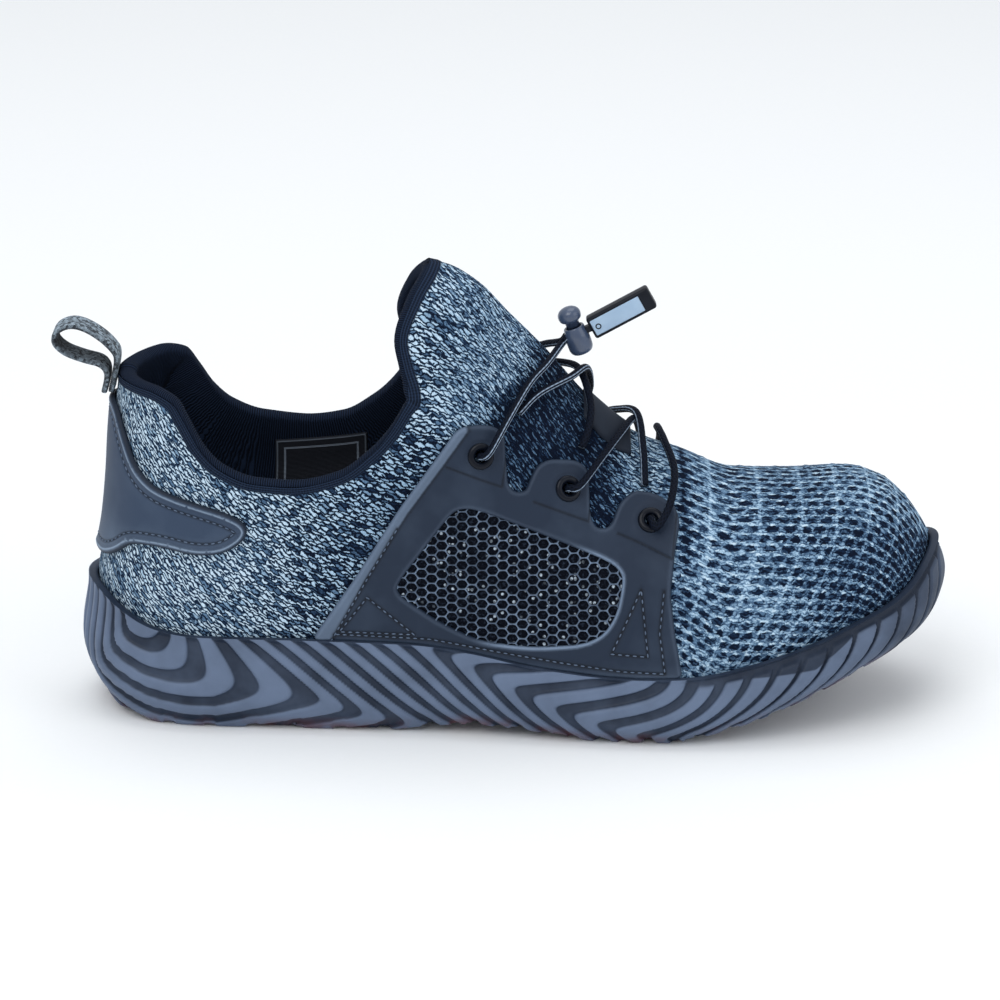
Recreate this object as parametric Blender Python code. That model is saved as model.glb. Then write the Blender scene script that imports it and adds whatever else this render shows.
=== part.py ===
"""Safety sneaker, right shoe, standing empty on its sole.

+X points to the toe, +Y to the inner side of the foot and +Z up, in metres.
The origin is on the floor, in the middle of the heel's tread.
Every section is worked out from the driving sizes below; the tables hold shares of them.
"""

import math

import bmesh
import bpy
import numpy as np
from mathutils import Vector
from mathutils.geometry import delaunay_2d_cdt

# Driving sizes
SOLE_LENGTH = 0.300
BALL_WIDTH = 0.108
TONGUE_HEIGHT = 0.157
LIP_HEIGHT = 0.0338
TOE_SPRING = 0.036
HEEL_SEAT = 0.060

# Sole
EDGE_ROUND = 0.006
LIP_INSET = 0.0026
LIP_WALL = 0.0032
HEEL_STACK = 0.024
BALL_STACK = 0.015
RIB_DEPTH = 0.0018
RIB_PITCH = 0.0090
# Part of a rib's pitch that its top takes, on each side of its middle, and where its side ends
RIB_TOP = 0.21
RIB_FOOT = 0.34
# Level, from 0 at the tread to 1 at the lip, at which the rounded lower edge ends
EDGE_ROUND_LEVEL = 0.45
EDGE_FULLNESS = 1.2
# Share of the side's height over which the ribs fade out under the lip
RIB_FADE = 0.12
# Where the heel's ribs turn round, how they lean and where they flatten out below
RIB_FOCUS = 0.118
RIB_LEAN = 1.25
RIB_SQUEEZE = 0.060
FLAT_RIB_PITCH = 0.83
FLAT_RIB_START = 1.58
HEEL_RIB_REACH = 0.10
HEEL_RIB_PITCH = 0.56
# Where the ribs of the ball and the toe start, how they bow, and how many lie behind them
BALL_RIBS_FROM = 0.63
BALL_RIB_PITCH = 1.10
ARCH_RIBS_FROM = 0.60
ARCH_RIB_SLOPE = 0.25
TOE_RIBS_FROM = 0.667
TOE_RIB_RUN = 0.43
TOE_RIB_BOW = 0.056
RIBS_TO_BALL = 11.3
LUG_DEPTH = 0.0022
LUG_PITCH = 0.0150
LUG_FIRST = 0.100
LUG_LAST = 0.950
LUG_WAVE = 0.00433
LUG_MARGIN = 0.002
# Half widths of a tread groove at its top and its foot, in half pitches
GROOVE_TOP = 0.36
GROOVE_FOOT = 0.20

# Upper
UPPER_WALL = 0.0026
COLLAR_PAD = 0.0060
PAD_DEPTH = 0.022
COLLAR_TILT = 0.0032
INSOLE_THICKNESS = 0.0040
INSOLE_RIM = 0.0015
OVERLAY_THICKNESS = 0.0016
WINDOW_THICKNESS = 0.0010

# Gap that every two neighbouring pieces keep
GAP = 0.0003

# Outline of the sole seen from above: along is a share of SOLE_LENGTH, across one of BALL_WIDTH
OUTLINE = (
    # along, across
    (0.000, 0.000),
    (0.016, -0.155),
    (0.058, -0.275),
    (0.130, -0.338),
    (0.250, -0.360),
    (0.400, -0.392),
    (0.520, -0.440),
    (0.640, -0.482),
    (0.740, -0.478),
    (0.830, -0.428),
    (0.900, -0.352),
    (0.950, -0.255),
    (0.985, -0.120),
    (1.000, 0.040),
    (0.987, 0.195),
    (0.950, 0.325),
    (0.895, 0.422),
    (0.820, 0.486),
    (0.730, 0.500),
    (0.630, 0.460),
    (0.530, 0.392),
    (0.420, 0.338),
    (0.300, 0.325),
    (0.200, 0.338),
    (0.130, 0.332),
    (0.058, 0.272),
    (0.016, 0.155),
)

# Underside seen from the side: rise is a share of TOE_SPRING, zero where the tread stands
TREAD_LINE = (
    # along, rise
    (0.000, 0.230),
    (0.012, 0.150),
    (0.030, 0.075),
    (0.055, 0.025),
    (0.085, 0.000),
    (0.340, 0.000),
    (0.400, 0.055),
    (0.450, 0.095),
    (0.510, 0.070),
    (0.560, 0.020),
    (0.590, 0.000),
    (0.680, 0.000),
    (0.715, 0.060),
    (0.755, 0.140),
    (0.800, 0.260),
    (0.850, 0.415),
    (0.900, 0.580),
    (0.950, 0.720),
    (0.983, 0.830),
    (1.000, 1.000),
)

# Upper edge of the sole's side: height is a share of LIP_HEIGHT
LIP_LINE = (
    # along, height
    (0.000, 1.370),
    (0.013, 1.340),
    (0.040, 1.220),
    (0.090, 1.045),
    (0.135, 0.995),
    (0.270, 0.985),
    (0.385, 0.970),
    (0.450, 0.905),
    (0.525, 0.785),
    (0.600, 0.722),
    (0.645, 0.710),
    (0.700, 0.725),
    (0.765, 0.825),
    (0.840, 1.000),
    (0.900, 1.190),
    (0.937, 1.300),
    (0.967, 1.440),
    (0.987, 1.600),
    (1.000, 1.690),
)

# Foot bed: stack is a share of the way from BALL_STACK to HEEL_STACK, over the tread line
FOOT_BED = (
    # along, stack
    (0.000, 1.000),
    (0.300, 1.000),
    (0.450, 0.600),
    (0.620, 0.000),
    (1.000, 0.000),
)

# Cross-sections of the last: top is a share of TONGUE_HEIGHT, ridge one of BALL_WIDTH, and the
# two powers set how full the wall (side) and the crown are
SECTIONS = (
    # along, top, ridge, side, crown
    (0.000, 1.080, 0.000, 3.0, 2.0),
    (0.300, 1.060, 0.000, 3.0, 2.0),
    (0.380, 1.012, 0.000, 3.0, 2.0),
    (0.402, 1.000, 0.000, 2.9, 2.0),
    (0.425, 0.990, 0.004, 2.6, 1.9),
    (0.460, 0.950, 0.008, 2.2, 1.75),
    (0.493, 0.884, 0.012, 1.9, 1.6),
    (0.533, 0.805, 0.018, 1.75, 1.5),
    (0.587, 0.685, 0.028, 1.7, 1.5),
    (0.643, 0.598, 0.036, 1.8, 1.6),
    (0.690, 0.560, 0.042, 2.0, 1.8),
    (0.753, 0.508, 0.048, 2.2, 2.0),
    (0.817, 0.501, 0.050, 2.4, 2.2),
    (0.887, 0.509, 0.046, 2.4, 2.3),
    (0.923, 0.492, 0.042, 2.3, 2.3),
    (0.952, 0.448, 0.040, 2.2, 2.3),
    (0.970, 0.402, 0.040, 2.2, 2.2),
    (0.978, 0.376, 0.040, 2.2, 2.2),
)

# Back of the heel seen from the side: height is a share of TONGUE_HEIGHT, along of SOLE_LENGTH
HEEL_BACK = (
    # height, along
    (0.000, 0.0208),
    (0.300, 0.0208),
    (0.350, 0.0250),
    (0.420, 0.0325),
    (0.530, 0.0395),
    (0.615, 0.0430),
    (0.685, 0.0470),
    (0.770, 0.0540),
    (0.820, 0.0620),
)

# Top line of the collar seen from the side, from the heel to the foot of the tongue
COLLAR_LINE = (
    # along, height
    (0.000, 0.764),
    (0.060, 0.768),
    (0.095, 0.752),
    (0.115, 0.708),
    (0.135, 0.656),
    (0.160, 0.616),
    (0.200, 0.588),
    (0.250, 0.581),
    (0.300, 0.597),
    (0.340, 0.645),
    (0.362, 0.690),
    (0.380, 0.745),
)

# Edge of the tongue seen from the side
TONGUE_EDGE = (
    # height, along
    (0.000, 0.380),
    (0.745, 0.380),
    (0.810, 0.372),
    (0.863, 0.367),
    (0.950, 0.382),
    (1.000, 0.400),
)

# Overlay on each side of the upper: reach is measured round the upper's edge from the middle of
# the heel, as a share of SOLE_LENGTH, and height as a share of TONGUE_HEIGHT; a height of zero
# stands for the sole's lip
SADDLE = (
    # reach, height
    (0.305, 0.000),
    (0.356, 0.357),
    (0.406, 0.513),
    (0.438, 0.599),
    (0.455, 0.643),
    (0.471, 0.684),
    (0.490, 0.690),
    (0.511, 0.683),
    (0.523, 0.660),
    (0.527, 0.560),
    (0.535, 0.543),
    (0.547, 0.543),
    (0.550, 0.558),
    (0.559, 0.592),
    (0.573, 0.602),
    (0.603, 0.592),
    (0.618, 0.570),
    (0.621, 0.480),
    (0.627, 0.459),
    (0.639, 0.455),
    (0.646, 0.466),
    (0.653, 0.500),
    (0.670, 0.519),
    (0.695, 0.510),
    (0.718, 0.489),
    (0.723, 0.464),
    (0.717, 0.408),
    (0.712, 0.330),
    (0.717, 0.248),
    (0.726, 0.000),
    (0.677, 0.000),
    (0.636, 0.000),
    (0.563, 0.000),
    (0.489, 0.000),
    (0.424, 0.000),
    (0.360, 0.000),
)
WINDOW = (
    # reach, height
    (0.475, 0.514),
    (0.492, 0.512),
    (0.646, 0.389),
    (0.657, 0.368),
    (0.658, 0.348),
    (0.652, 0.288),
    (0.637, 0.244),
    (0.613, 0.222),
    (0.556, 0.212),
    (0.498, 0.220),
    (0.452, 0.258),
    (0.405, 0.318),
    (0.402, 0.341),
    (0.464, 0.504),
)
EYELETS = (
    # reach, height
    (0.496, 0.624),
    (0.594, 0.539),
    (0.690, 0.463),
)

# One half of the counter round the heel, from the middle of its top to the middle of its foot
COUNTER = (
    # reach, height
    (0.000, 0.704),
    (0.041, 0.691),
    (0.066, 0.638),
    (0.088, 0.578),
    (0.110, 0.545),
    (0.140, 0.526),
    (0.167, 0.513),
    (0.200, 0.496),
    (0.222, 0.477),
    (0.229, 0.455),
    (0.223, 0.430),
    (0.201, 0.402),
    (0.169, 0.396),
    (0.125, 0.411),
    (0.088, 0.408),
    (0.068, 0.375),
    (0.045, 0.356),
    (0.000, 0.352),
)

# Laces over the tongue: along is a share of SOLE_LENGTH, over runs from -1 low on the outer side
# over the crown at 0 to 1 on the inner side, and lift is the height over the skin in lace widths
BAR = (
    # along, over, lift
    (0.654, -0.780, 1.80),
    (0.660, -0.760, 2.50),
    (0.674, -0.600, 2.50),
    (0.678, -0.350, 2.00),
    (0.666, -0.100, 1.70),
    (0.660, 0.100, 1.70),
    (0.668, 0.350, 2.00),
    (0.670, 0.600, 2.50),
    (0.660, 0.760, 2.50),
    (0.654, 0.780, 1.80),
)
LOWER_CROSS = (
    # along, over, lift
    (0.558, -0.820, 1.80),
    (0.566, -0.780, 2.50),
    (0.590, -0.550, 2.20),
    (0.612, -0.280, 1.70),
    (0.629, 0.000, 1.45),
    (0.642, 0.280, 1.10),
    (0.646, 0.500, 0.75),
)
UPPER_CROSS = (
    # along, over, lift
    (0.502, -0.640, 0.75),
    (0.522, -0.480, 1.10),
    (0.552, -0.220, 1.40),
    (0.566, 0.000, 1.50),
    (0.578, 0.220, 1.50),
    (0.578, 0.400, 1.20),
    (0.573, 0.540, 0.75),
)
LACE_END = (
    # along, over, lift
    (0.461, -0.910, 1.80),
    (0.467, -0.880, 2.50),
    (0.487, -0.700, 2.00),
    (0.510, -0.470, 1.60),
    (0.528, -0.280, 1.60),
)
KEEPER = (
    # along, half the width as a share of the way down from the crown
    (0.578, 0.30),
    (0.596, 0.34),
    (0.616, 0.34),
    (0.632, 0.30),
)

# Strap behind the heel: along is a share of SOLE_LENGTH, height one of TONGUE_HEIGHT
PULL_LOOP = (
    # along, height
    (0.0353, 0.712),
    (0.0390, 0.744),
    (0.0375, 0.762),
    (0.0300, 0.775),
    (0.0120, 0.785),
    (-0.0080, 0.801),
    (-0.0190, 0.824),
    (-0.0150, 0.848),
    (-0.0010, 0.860),
    (0.0150, 0.854),
    (0.0340, 0.831),
    (0.0480, 0.802),
    (0.0505, 0.782),
    (0.0476, 0.750),
    (0.0433, 0.714),
)

# Lock on the lace ends, measured from the middle of the slot the laces go through
LOCK_ALONG = 0.5700 * SOLE_LENGTH
LOCK_ACROSS = 0.020 * BALL_WIDTH
LOCK_HEIGHT = 0.832 * TONGUE_HEIGHT
LOCK_RISE = math.radians(20.0)
CLIP_RISE = math.radians(29.0)
BARREL_RADIUS = 0.0042
BARREL_LENGTH = 0.0098
BARREL_ABOVE = 0.0024
BARREL_CHAMFER = 0.0009
BORE_RADIUS = 0.0029
BORE_FLOOR = 0.0012
STEM_RADIUS = 0.0024
BUTTON_RADIUS = 0.0040
BUTTON_HEIGHT = 0.0058
BUTTON_TRAVEL = 0.0020
CLIP_LENGTH = 0.0235
CLIP_WIDTH = 0.0080
CLIP_THICKNESS = 0.0050
CLIP_HOLE_RADIUS = 0.0010
CLIP_EDGE = 0.0007
CLIP_RIM = 0.0009
CLIP_NECK = 0.0020
# How far the plate stays from the clip's far end, and the hole from its near end, in rims
PLATE_SHORT = 4.5
HOLE_IN = 3.2
PLATE_THICKNESS = 0.0009
PLATE_SUNK = 0.8
# Sides of the neck as shares of the slot's, and length of the slot's cutter in barrel radii
NECK_SHARE = 0.32
SLOT_REACH = 1.3
# How far apart the lace ends lie before the lock, and how long they run straight, in radii
CORD_SPREAD = 1.15
CORD_STRAIGHT = 1.8

# Button from its top down to its stem: radius in BUTTON_RADIUS, height in BUTTON_HEIGHT
BUTTON_PROFILE = (
    # radius, height
    (0.00, 1.00),
    (0.55, 0.93),
    (0.90, 0.74),
    (1.00, 0.46),
    (0.86, 0.14),
)

# Small sizes
LACE_WIDTH = 0.0026
CROSSING_STEP = 0.21
STRAP_WIDTH = 0.012
STRAP_THICKNESS = 0.0020
EYELET_BORE = 0.0020
EYELET_RADIUS = 0.0045
EYELET_BARREL = 0.0028
EYELET_FLANGE = 0.0010
PATCH_STEP = 0.0085
PANE_STEP = 0.0105
# Space under an overlay, a little over GAP because its facets cut across the curve
OVERLAY_LIFT = 2.0 * GAP

# In front of this station the upper's walls stand straight; behind it they draw in with height
HEEL_TURN = 0.33 * SOLE_LENGTH

# Section of the insole: share across from the outer side, height in thicknesses, share of the rim
INSOLE_SECTION = (
    # across, height, rim
    (0.0, 0.0, 0.0),
    (1.0, 0.0, 0.0),
    (1.0, 1.0, 1.0),
    (0.8, 1.0, 0.0),
    (0.2, 1.0, 0.0),
    (0.0, 1.0, 1.0),
)

# Corners of a square section, from -1 to 1
SQUARE = np.array([(1, 1), (-1, 1), (-1, -1), (1, -1)])

# How the mesh is divided
END_STATIONS = 53
EDGE_SAMPLES = 400
RIB_LEVELS = (0.10, 0.93)
RIB_STEP = 0.0120
SIDE_SCALE = 1.18 * LIP_HEIGHT
TREAD_SHARES = (0.0, 0.15, 0.38, 0.62, 0.85, 1.0)
INSOLE_STATIONS = 30
BARREL_SEGMENTS = 16
BUTTON_SEGMENTS = 14
UPPER_REAR_STATIONS = 16
UPPER_FRONT_STATIONS = 19
CORNER_RISE = 0.67
SIDE_RISES = (0.0, 0.13, 0.27, 0.41, 0.54, CORNER_RISE)
CROWN_RISES = (0.78, 0.89, 0.965, 1.0)
SPLINE_STEPS = 24
TOE_CROWDING = 1.7
EDGE_ROUNDS = 12


def smooth(table, column=1, scale_at=1.0, scale=1.0):
    """Monotone cubic through one column of a table whose first column runs upwards."""
    rows = np.asarray(table, float)
    at, values = rows[:, 0] * scale_at, rows[:, column] * scale
    step = np.diff(at)
    slope = np.diff(values) / step
    tangent = np.zeros_like(values)
    tangent[0], tangent[-1] = slope[0], slope[-1]
    before, after = slope[:-1], slope[1:]
    same = before * after > 0
    first, second = 2 * step[1:] + step[:-1], step[1:] + 2 * step[:-1]
    safe_before, safe_after = np.where(same, before, 1.0), np.where(same, after, 1.0)
    mean = (first + second) / (first / safe_before + second / safe_after)
    tangent[1:-1] = np.where(same, mean, 0.0)

    def value(x):
        x = np.clip(np.asarray(x, float), at[0], at[-1])
        k = np.clip(np.searchsorted(at, x, side="right") - 1, 0, len(step) - 1)
        t = (x - at[k]) / step[k]
        start = values[k] * (1 + 2 * t) + tangent[k] * step[k] * t
        end = values[k + 1] * (3 - 2 * t) - tangent[k + 1] * step[k] * (1 - t)
        return start * (1 - t) ** 2 + end * t**2

    return value


tread_line = smooth(TREAD_LINE, 1, SOLE_LENGTH, TOE_SPRING)
lip_line = smooth(LIP_LINE, 1, SOLE_LENGTH, LIP_HEIGHT)
bed_share = smooth(FOOT_BED, 1, SOLE_LENGTH)
top_line = smooth(SECTIONS, 1, SOLE_LENGTH, TONGUE_HEIGHT)
ridge_line = smooth(SECTIONS, 2, SOLE_LENGTH, BALL_WIDTH)
side_power = smooth(SECTIONS, 3, SOLE_LENGTH)
crown_power = smooth(SECTIONS, 4, SOLE_LENGTH)
heel_back = smooth(HEEL_BACK, 1, TONGUE_HEIGHT, SOLE_LENGTH)
collar_line = smooth(COLLAR_LINE, 1, SOLE_LENGTH, TONGUE_HEIGHT)
tongue_edge = smooth(TONGUE_EDGE, 1, TONGUE_HEIGHT, SOLE_LENGTH)


def collar_height(along, side):
    """Height of the collar's edge: lower on the outer side of the foot, higher on the inner."""
    middle = np.clip(np.asarray(along) / (TONGUE_EDGE[0][1] * SOLE_LENGTH), 0, 1)
    return collar_line(along) + COLLAR_TILT * np.asarray(side) * np.sin(middle * math.pi)


def foot_bed(along):
    """Height of the floor inside the sole's cup."""
    return tread_line(along) + BALL_STACK + (HEEL_STACK - BALL_STACK) * bed_share(along)


def closed_outline():
    """The sole's outline as a dense closed loop, from the heel by the outer side to the toe."""
    points = np.asarray(OUTLINE) * (SOLE_LENGTH, BALL_WIDTH)
    ahead, behind = np.roll(points, -1, 0), np.roll(points, 1, 0)
    tangent = (ahead - behind) / 2
    t = np.linspace(0, 1, SPLINE_STEPS, endpoint=False)[None, :, None]
    start, end = points[:, None], ahead[:, None]
    leave, reach = tangent[:, None], np.roll(tangent, -1, 0)[:, None]
    curve = start * (1 + 2 * t) * (1 - t) ** 2 + end * t**2 * (3 - 2 * t)
    curve = curve + leave * t * (1 - t) ** 2 - reach * t**2 * (1 - t)
    return curve.reshape(-1, 2)


def inward_normals(loop):
    """Unit normals of a closed loop that runs heel, outer side, toe, inner side."""
    tangent = np.roll(loop, -1, 0) - np.roll(loop, 1, 0)
    normal = np.stack([-tangent[:, 1], tangent[:, 0]], 1)
    return normal / np.linalg.norm(normal, axis=1, keepdims=True)


def halves(loop):
    """The outer and the inner half of a loop, each from its heel end to its toe end."""
    heel, toe = loop[:, 0].argmin(), loop[:, 0].argmax()
    turned = np.roll(loop, -heel, 0)
    cut = (toe - heel) % len(loop)
    outer = turned[: cut + 1]
    inner = np.vstack([turned[cut:], turned[:1]])[::-1]
    return outer, inner


def even_stations(loop, count):
    """Stations from the heel end to the toe end of a loop, evenly spaced along its edge."""
    outer, inner = halves(loop)
    reach = np.linspace(0, 1, EDGE_SAMPLES)
    low, high = outer[0, 0], outer[-1, 0]
    x = low + (high - low) * (1 - np.cos(math.pi * reach)) / 2
    y = (np.interp(x, *outer.T) - np.interp(x, *inner.T)) / 2
    run = np.concatenate([[0], np.cumsum(np.hypot(np.diff(x), np.diff(y)))])
    return np.interp(np.linspace(0, run[-1], count + 1), run, x)


def paired_columns(loop, stations):
    """A closed loop of columns whose outer and inner members share their station."""
    outer, inner = halves(loop)
    near = np.stack([stations, np.interp(stations, *outer.T)], 1)
    far = np.stack([stations, np.interp(stations, *inner.T)], 1)
    far[0], far[-1] = near[0], near[-1]
    return np.vstack([near, far[-2:0:-1]])


def run_length(path):
    """Distance walked along a path at each of its points."""
    return np.concatenate([[0], np.cumsum(np.linalg.norm(np.diff(path, axis=0), axis=1))])


SOLE_LOOP = closed_outline()
UPPER_INSET = LIP_INSET + LIP_WALL + GAP
UPPER_LOOP = SOLE_LOOP + inward_normals(SOLE_LOOP) * UPPER_INSET
UPPER_OUTER, UPPER_INNER = halves(UPPER_LOOP)
OUTER_RUN = run_length(UPPER_OUTER)
INNER_RUN = run_length(UPPER_INNER)


def world(points):
    """Moves points measured from the sole's heel end to the part's origin."""
    return np.asarray(points, float) - (HEEL_SEAT, 0.0, 0.0)


def wall_point(along, height, side):
    """The point of the upper's outer skin at a station and a height."""
    low, high = lip_line(along), top_line(along)
    share = np.clip((height - low) / (high - low), 0, 1)
    outer, inner = np.interp(along, *UPPER_OUTER.T), np.interp(along, *UPPER_INNER.T)
    edge = np.where(np.asarray(side) < 0, outer, inner)
    ridge = ridge_line(along) * np.clip((along - HEEL_TURN) / HEEL_TURN, 0, 1)
    ridge = np.clip(ridge, outer, inner)
    full = (1 - share ** side_power(along)) ** (1 / crown_power(along))
    across = ridge + (edge - ridge) * full
    squeeze = (HEEL_TURN - heel_back(height)) / (HEEL_TURN - UPPER_LOOP[:, 0].min())
    forward = np.where(along < HEEL_TURN, HEEL_TURN - (HEEL_TURN - along) * squeeze, along)
    return np.stack([forward, across, height], -1)


def grid_faces(rows, columns, offset=0, closed=False):
    """Quads of a grid whose points are stored row after row."""
    faces = []
    for r in range(rows - 1):
        for c in range(columns if closed else columns - 1):
            n = (c + 1) % columns
            a, b = offset + r * columns + c, offset + r * columns + n
            faces.append((a, b, b + columns, a + columns))
    return faces


def solid(name, points, faces, finish, weld=1e-5):
    """A named object from points and faces, with doubles merged and faces turned outwards."""
    mesh = bpy.data.meshes.new(name)
    mesh.from_pydata([tuple(map(float, p)) for p in points], [], faces)
    work = bmesh.new()
    work.from_mesh(mesh)
    bmesh.ops.remove_doubles(work, verts=work.verts, dist=weld)
    bmesh.ops.dissolve_degenerate(work, edges=work.edges, dist=weld)
    bmesh.ops.recalc_face_normals(work, faces=work.faces)
    work.to_mesh(mesh)
    work.free()
    mesh.shade_smooth()
    mesh.materials.append(finish)
    obj = bpy.data.objects.new(name, mesh)
    bpy.context.scene.collection.objects.link(obj)
    return obj


def finish(name, colour, roughness, metallic=0.0):
    """A plain surface finish."""
    made = bpy.data.materials.new(name)
    made.use_nodes = True
    shader = made.node_tree.nodes["Principled BSDF"]
    shader.inputs["Base Color"].default_value = (*colour, 1.0)
    shader.inputs["Roughness"].default_value = roughness
    shader.inputs["Metallic"].default_value = metallic
    return made


def unit(vectors):
    """Vectors scaled to length one."""
    return vectors / np.linalg.norm(vectors, axis=-1, keepdims=True)


class Side:
    """One half of the sole's edge, walked from the middle of the heel to the tip of the toe."""

    def __init__(self, sign):
        loop = np.hstack([SOLE_LOOP, inward_normals(SOLE_LOOP)])
        half = halves(loop)[0 if sign < 0 else 1]
        self.points, self.inward = half[:, :2], half[:, 2:]
        self.run = run_length(self.points)
        self.length = self.run[-1]
        self.toe_run_start = np.interp(TOE_RIBS_FROM * SOLE_LENGTH, self.points[:, 0], self.run)

    def reach(self, along):
        """Distance along the edge at a station."""
        return np.interp(along, self.points[:, 0], self.run)

    def at(self, reach):
        """Point and inward direction at a distance along the edge."""
        point = np.stack([np.interp(reach, self.run, self.points[:, k]) for k in (0, 1)], -1)
        inward = np.stack([np.interp(reach, self.run, self.inward[:, k]) for k in (0, 1)], -1)
        return point, unit(inward)

    def wall(self, reach, level, cut, lifted=0.0):
        """Points of the side at a distance and a level from 0 at the tread to 1 at the lip."""
        point, inward = self.at(reach)
        low, high = tread_line(point[..., 0]) + lifted, lip_line(point[..., 0])
        turn = np.clip(level / EDGE_ROUND_LEVEL, 0, 1)
        lean = np.clip((level - EDGE_ROUND_LEVEL) / (1 - EDGE_ROUND_LEVEL), 0, 1)
        inset = EDGE_ROUND * (1 - np.sin(turn * math.pi / 2)) ** EDGE_FULLNESS
        inset = inset + LIP_INSET * lean**2 * (3 - 2 * lean) + cut
        flat = point + inward * inset[..., None]
        return np.concatenate([flat, (low + (high - low) * level)[..., None]], -1)

    def phase(self, reach, level):
        """Number of the rib at a place on the side; whole numbers are the middles of ribs."""
        along = np.interp(reach, self.run, self.points[:, 0])
        depth = (lip_line(along) - tread_line(along)) * (1 - level)
        focus = RIB_FOCUS * SOLE_LENGTH
        squeezed = focus + (along - focus) / (1 + depth / (RIB_SQUEEZE * SOLE_LENGTH))
        leaned = np.maximum(along - RIB_LEAN * depth, squeezed)
        ahead = (leaned - focus) / RIB_PITCH
        under = depth / (FLAT_RIB_PITCH * RIB_PITCH) - FLAT_RIB_START
        behind = (HEEL_RIB_REACH * SOLE_LENGTH - reach) / (HEEL_RIB_PITCH * RIB_PITCH)
        heel = soft_max(soft_max(ahead, under), behind)
        rest = (reach - self.toe_run_start) / (self.length - self.toe_run_start)
        toe_start = TOE_RIBS_FROM * SOLE_LENGTH
        walked = np.where(along < toe_start, along, toe_start + rest * TOE_RIB_RUN * SOLE_LENGTH)
        bent = walked + depth**2 / (TOE_RIB_BOW * SOLE_LENGTH)
        front = (bent - BALL_RIBS_FROM * SOLE_LENGTH) / (BALL_RIB_PITCH * RIB_PITCH)
        from_arch = along - ARCH_RIBS_FROM * SOLE_LENGTH
        low = (depth + ARCH_RIB_SLOPE * from_arch) / (FLAT_RIB_PITCH * RIB_PITCH)
        return -soft_max(-heel, -(soft_max(front, low) + RIBS_TO_BALL))


def soft_max(a, b, sharpness=5.0):
    """The larger of two fields, rounded where they cross."""
    return np.logaddexp(a * sharpness, b * sharpness) / sharpness


def contour_lines(across, up, field, level):
    """Lines along which a field on a grid takes one value."""
    above = field > level
    mixed = above[:-1, :-1].astype(int) + above[1:, :-1] + above[:-1, 1:] + above[1:, 1:]
    links, places = {}, {}
    for i, j in np.argwhere((mixed > 0) & (mixed < 4)):
        corners = ((i, j), (i + 1, j), (i + 1, j + 1), (i, j + 1))
        hits = []
        for a, b in zip(corners, corners[1:] + corners[:1]):
            if above[a] != above[b]:
                key = (min(a, b), max(a, b))
                t = (level - field[key[0]]) / (field[key[1]] - field[key[0]])
                x = across[key[0][0]] * (1 - t) + across[key[1][0]] * t
                y = up[key[0][1]] * (1 - t) + up[key[1][1]] * t
                places[key] = (x, y)
                hits.append(key)
        for a, b in zip(hits[::2], hits[1::2]):
            links.setdefault(a, []).append(b)
            links.setdefault(b, []).append(a)
    lines = []
    ends = [key for key, near in links.items() if len(near) == 1]
    for start in ends + list(links):
        if not links.get(start):
            continue
        line, here = [start], start
        while links[here]:
            there = links[here].pop()
            links[there].remove(here)
            line.append(there)
            here = there
        lines.append(np.array([places[key] for key in line]))
    return lines


def resampled(line, step, scale):
    """A line with points about one step apart; scale turns its axes into metres."""
    run = run_length(line * scale)
    if run[-1] < step * 0.6:
        return None
    count = max(1, round(run[-1] / step))
    at = np.linspace(0, run[-1], count + 1)
    return np.stack([np.interp(at, run, line[:, k]) for k in (0, 1)], -1)


def triangulate(points, edges, inside_only=False):
    """Constrained triangles over flat points; gives the points, their source and the faces."""
    unit_size = 1000.0
    flat = [Vector((p[0] * unit_size, p[1] * unit_size)) for p in points]
    mode = 1 if inside_only else 0
    made = delaunay_2d_cdt(flat, edges, [], mode, 1e-4)
    corners = np.array([tuple(p) for p in made[0]]) / unit_size
    return corners, made[3], [tuple(face) for face in made[2]]


def sole_side(side, stations, lifts):
    """Points and faces of one side wall, with its ribs, between the tread's edge and the lip."""
    height = SIDE_SCALE
    reach = side.reach(stations)
    points, cuts, edges = [], [], []

    def add(chain, cut):
        start = len(points)
        points.extend((r, level * height) for r, level in chain)
        cuts.extend([cut] * len(chain))
        edges.extend((start + k, start + k + 1) for k in range(len(chain) - 1))

    low, high = RIB_LEVELS
    add([(r, 0.0) for r in reach], 0.0)
    add([(r, 1.0) for r in reach], 0.0)
    across = np.linspace(0, side.length, 260)
    up = np.linspace(low, high, 22)
    field = side.phase(*np.meshgrid(across, up, indexing="ij"))
    scale = np.array([1.0, height])
    for number in range(int(field.min()) - 1, int(field.max()) + 2):
        for offset, cut in ((-RIB_FOOT, 1), (-RIB_TOP, 0), (RIB_TOP, 0), (RIB_FOOT, 1)):
            for line in contour_lines(across, up, field, number + offset):
                chain = resampled(line, RIB_STEP, scale)
                if chain is not None:
                    add(chain, cut)
    corners, sources, faces = triangulate(points, edges)
    cut = np.array([cuts[s[0]] if s else 0.5 for s in sources], float)
    level = np.clip(corners[:, 1] / height, 0, 1)
    lifted = np.interp(corners[:, 0], reach, lifts) * (level < 1e-4)
    fade = np.clip((1 - level) / RIB_FADE, 0, 1)
    placed = side.wall(corners[:, 0], level, cut * RIB_DEPTH * fade, lifted)
    return placed, faces


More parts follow.
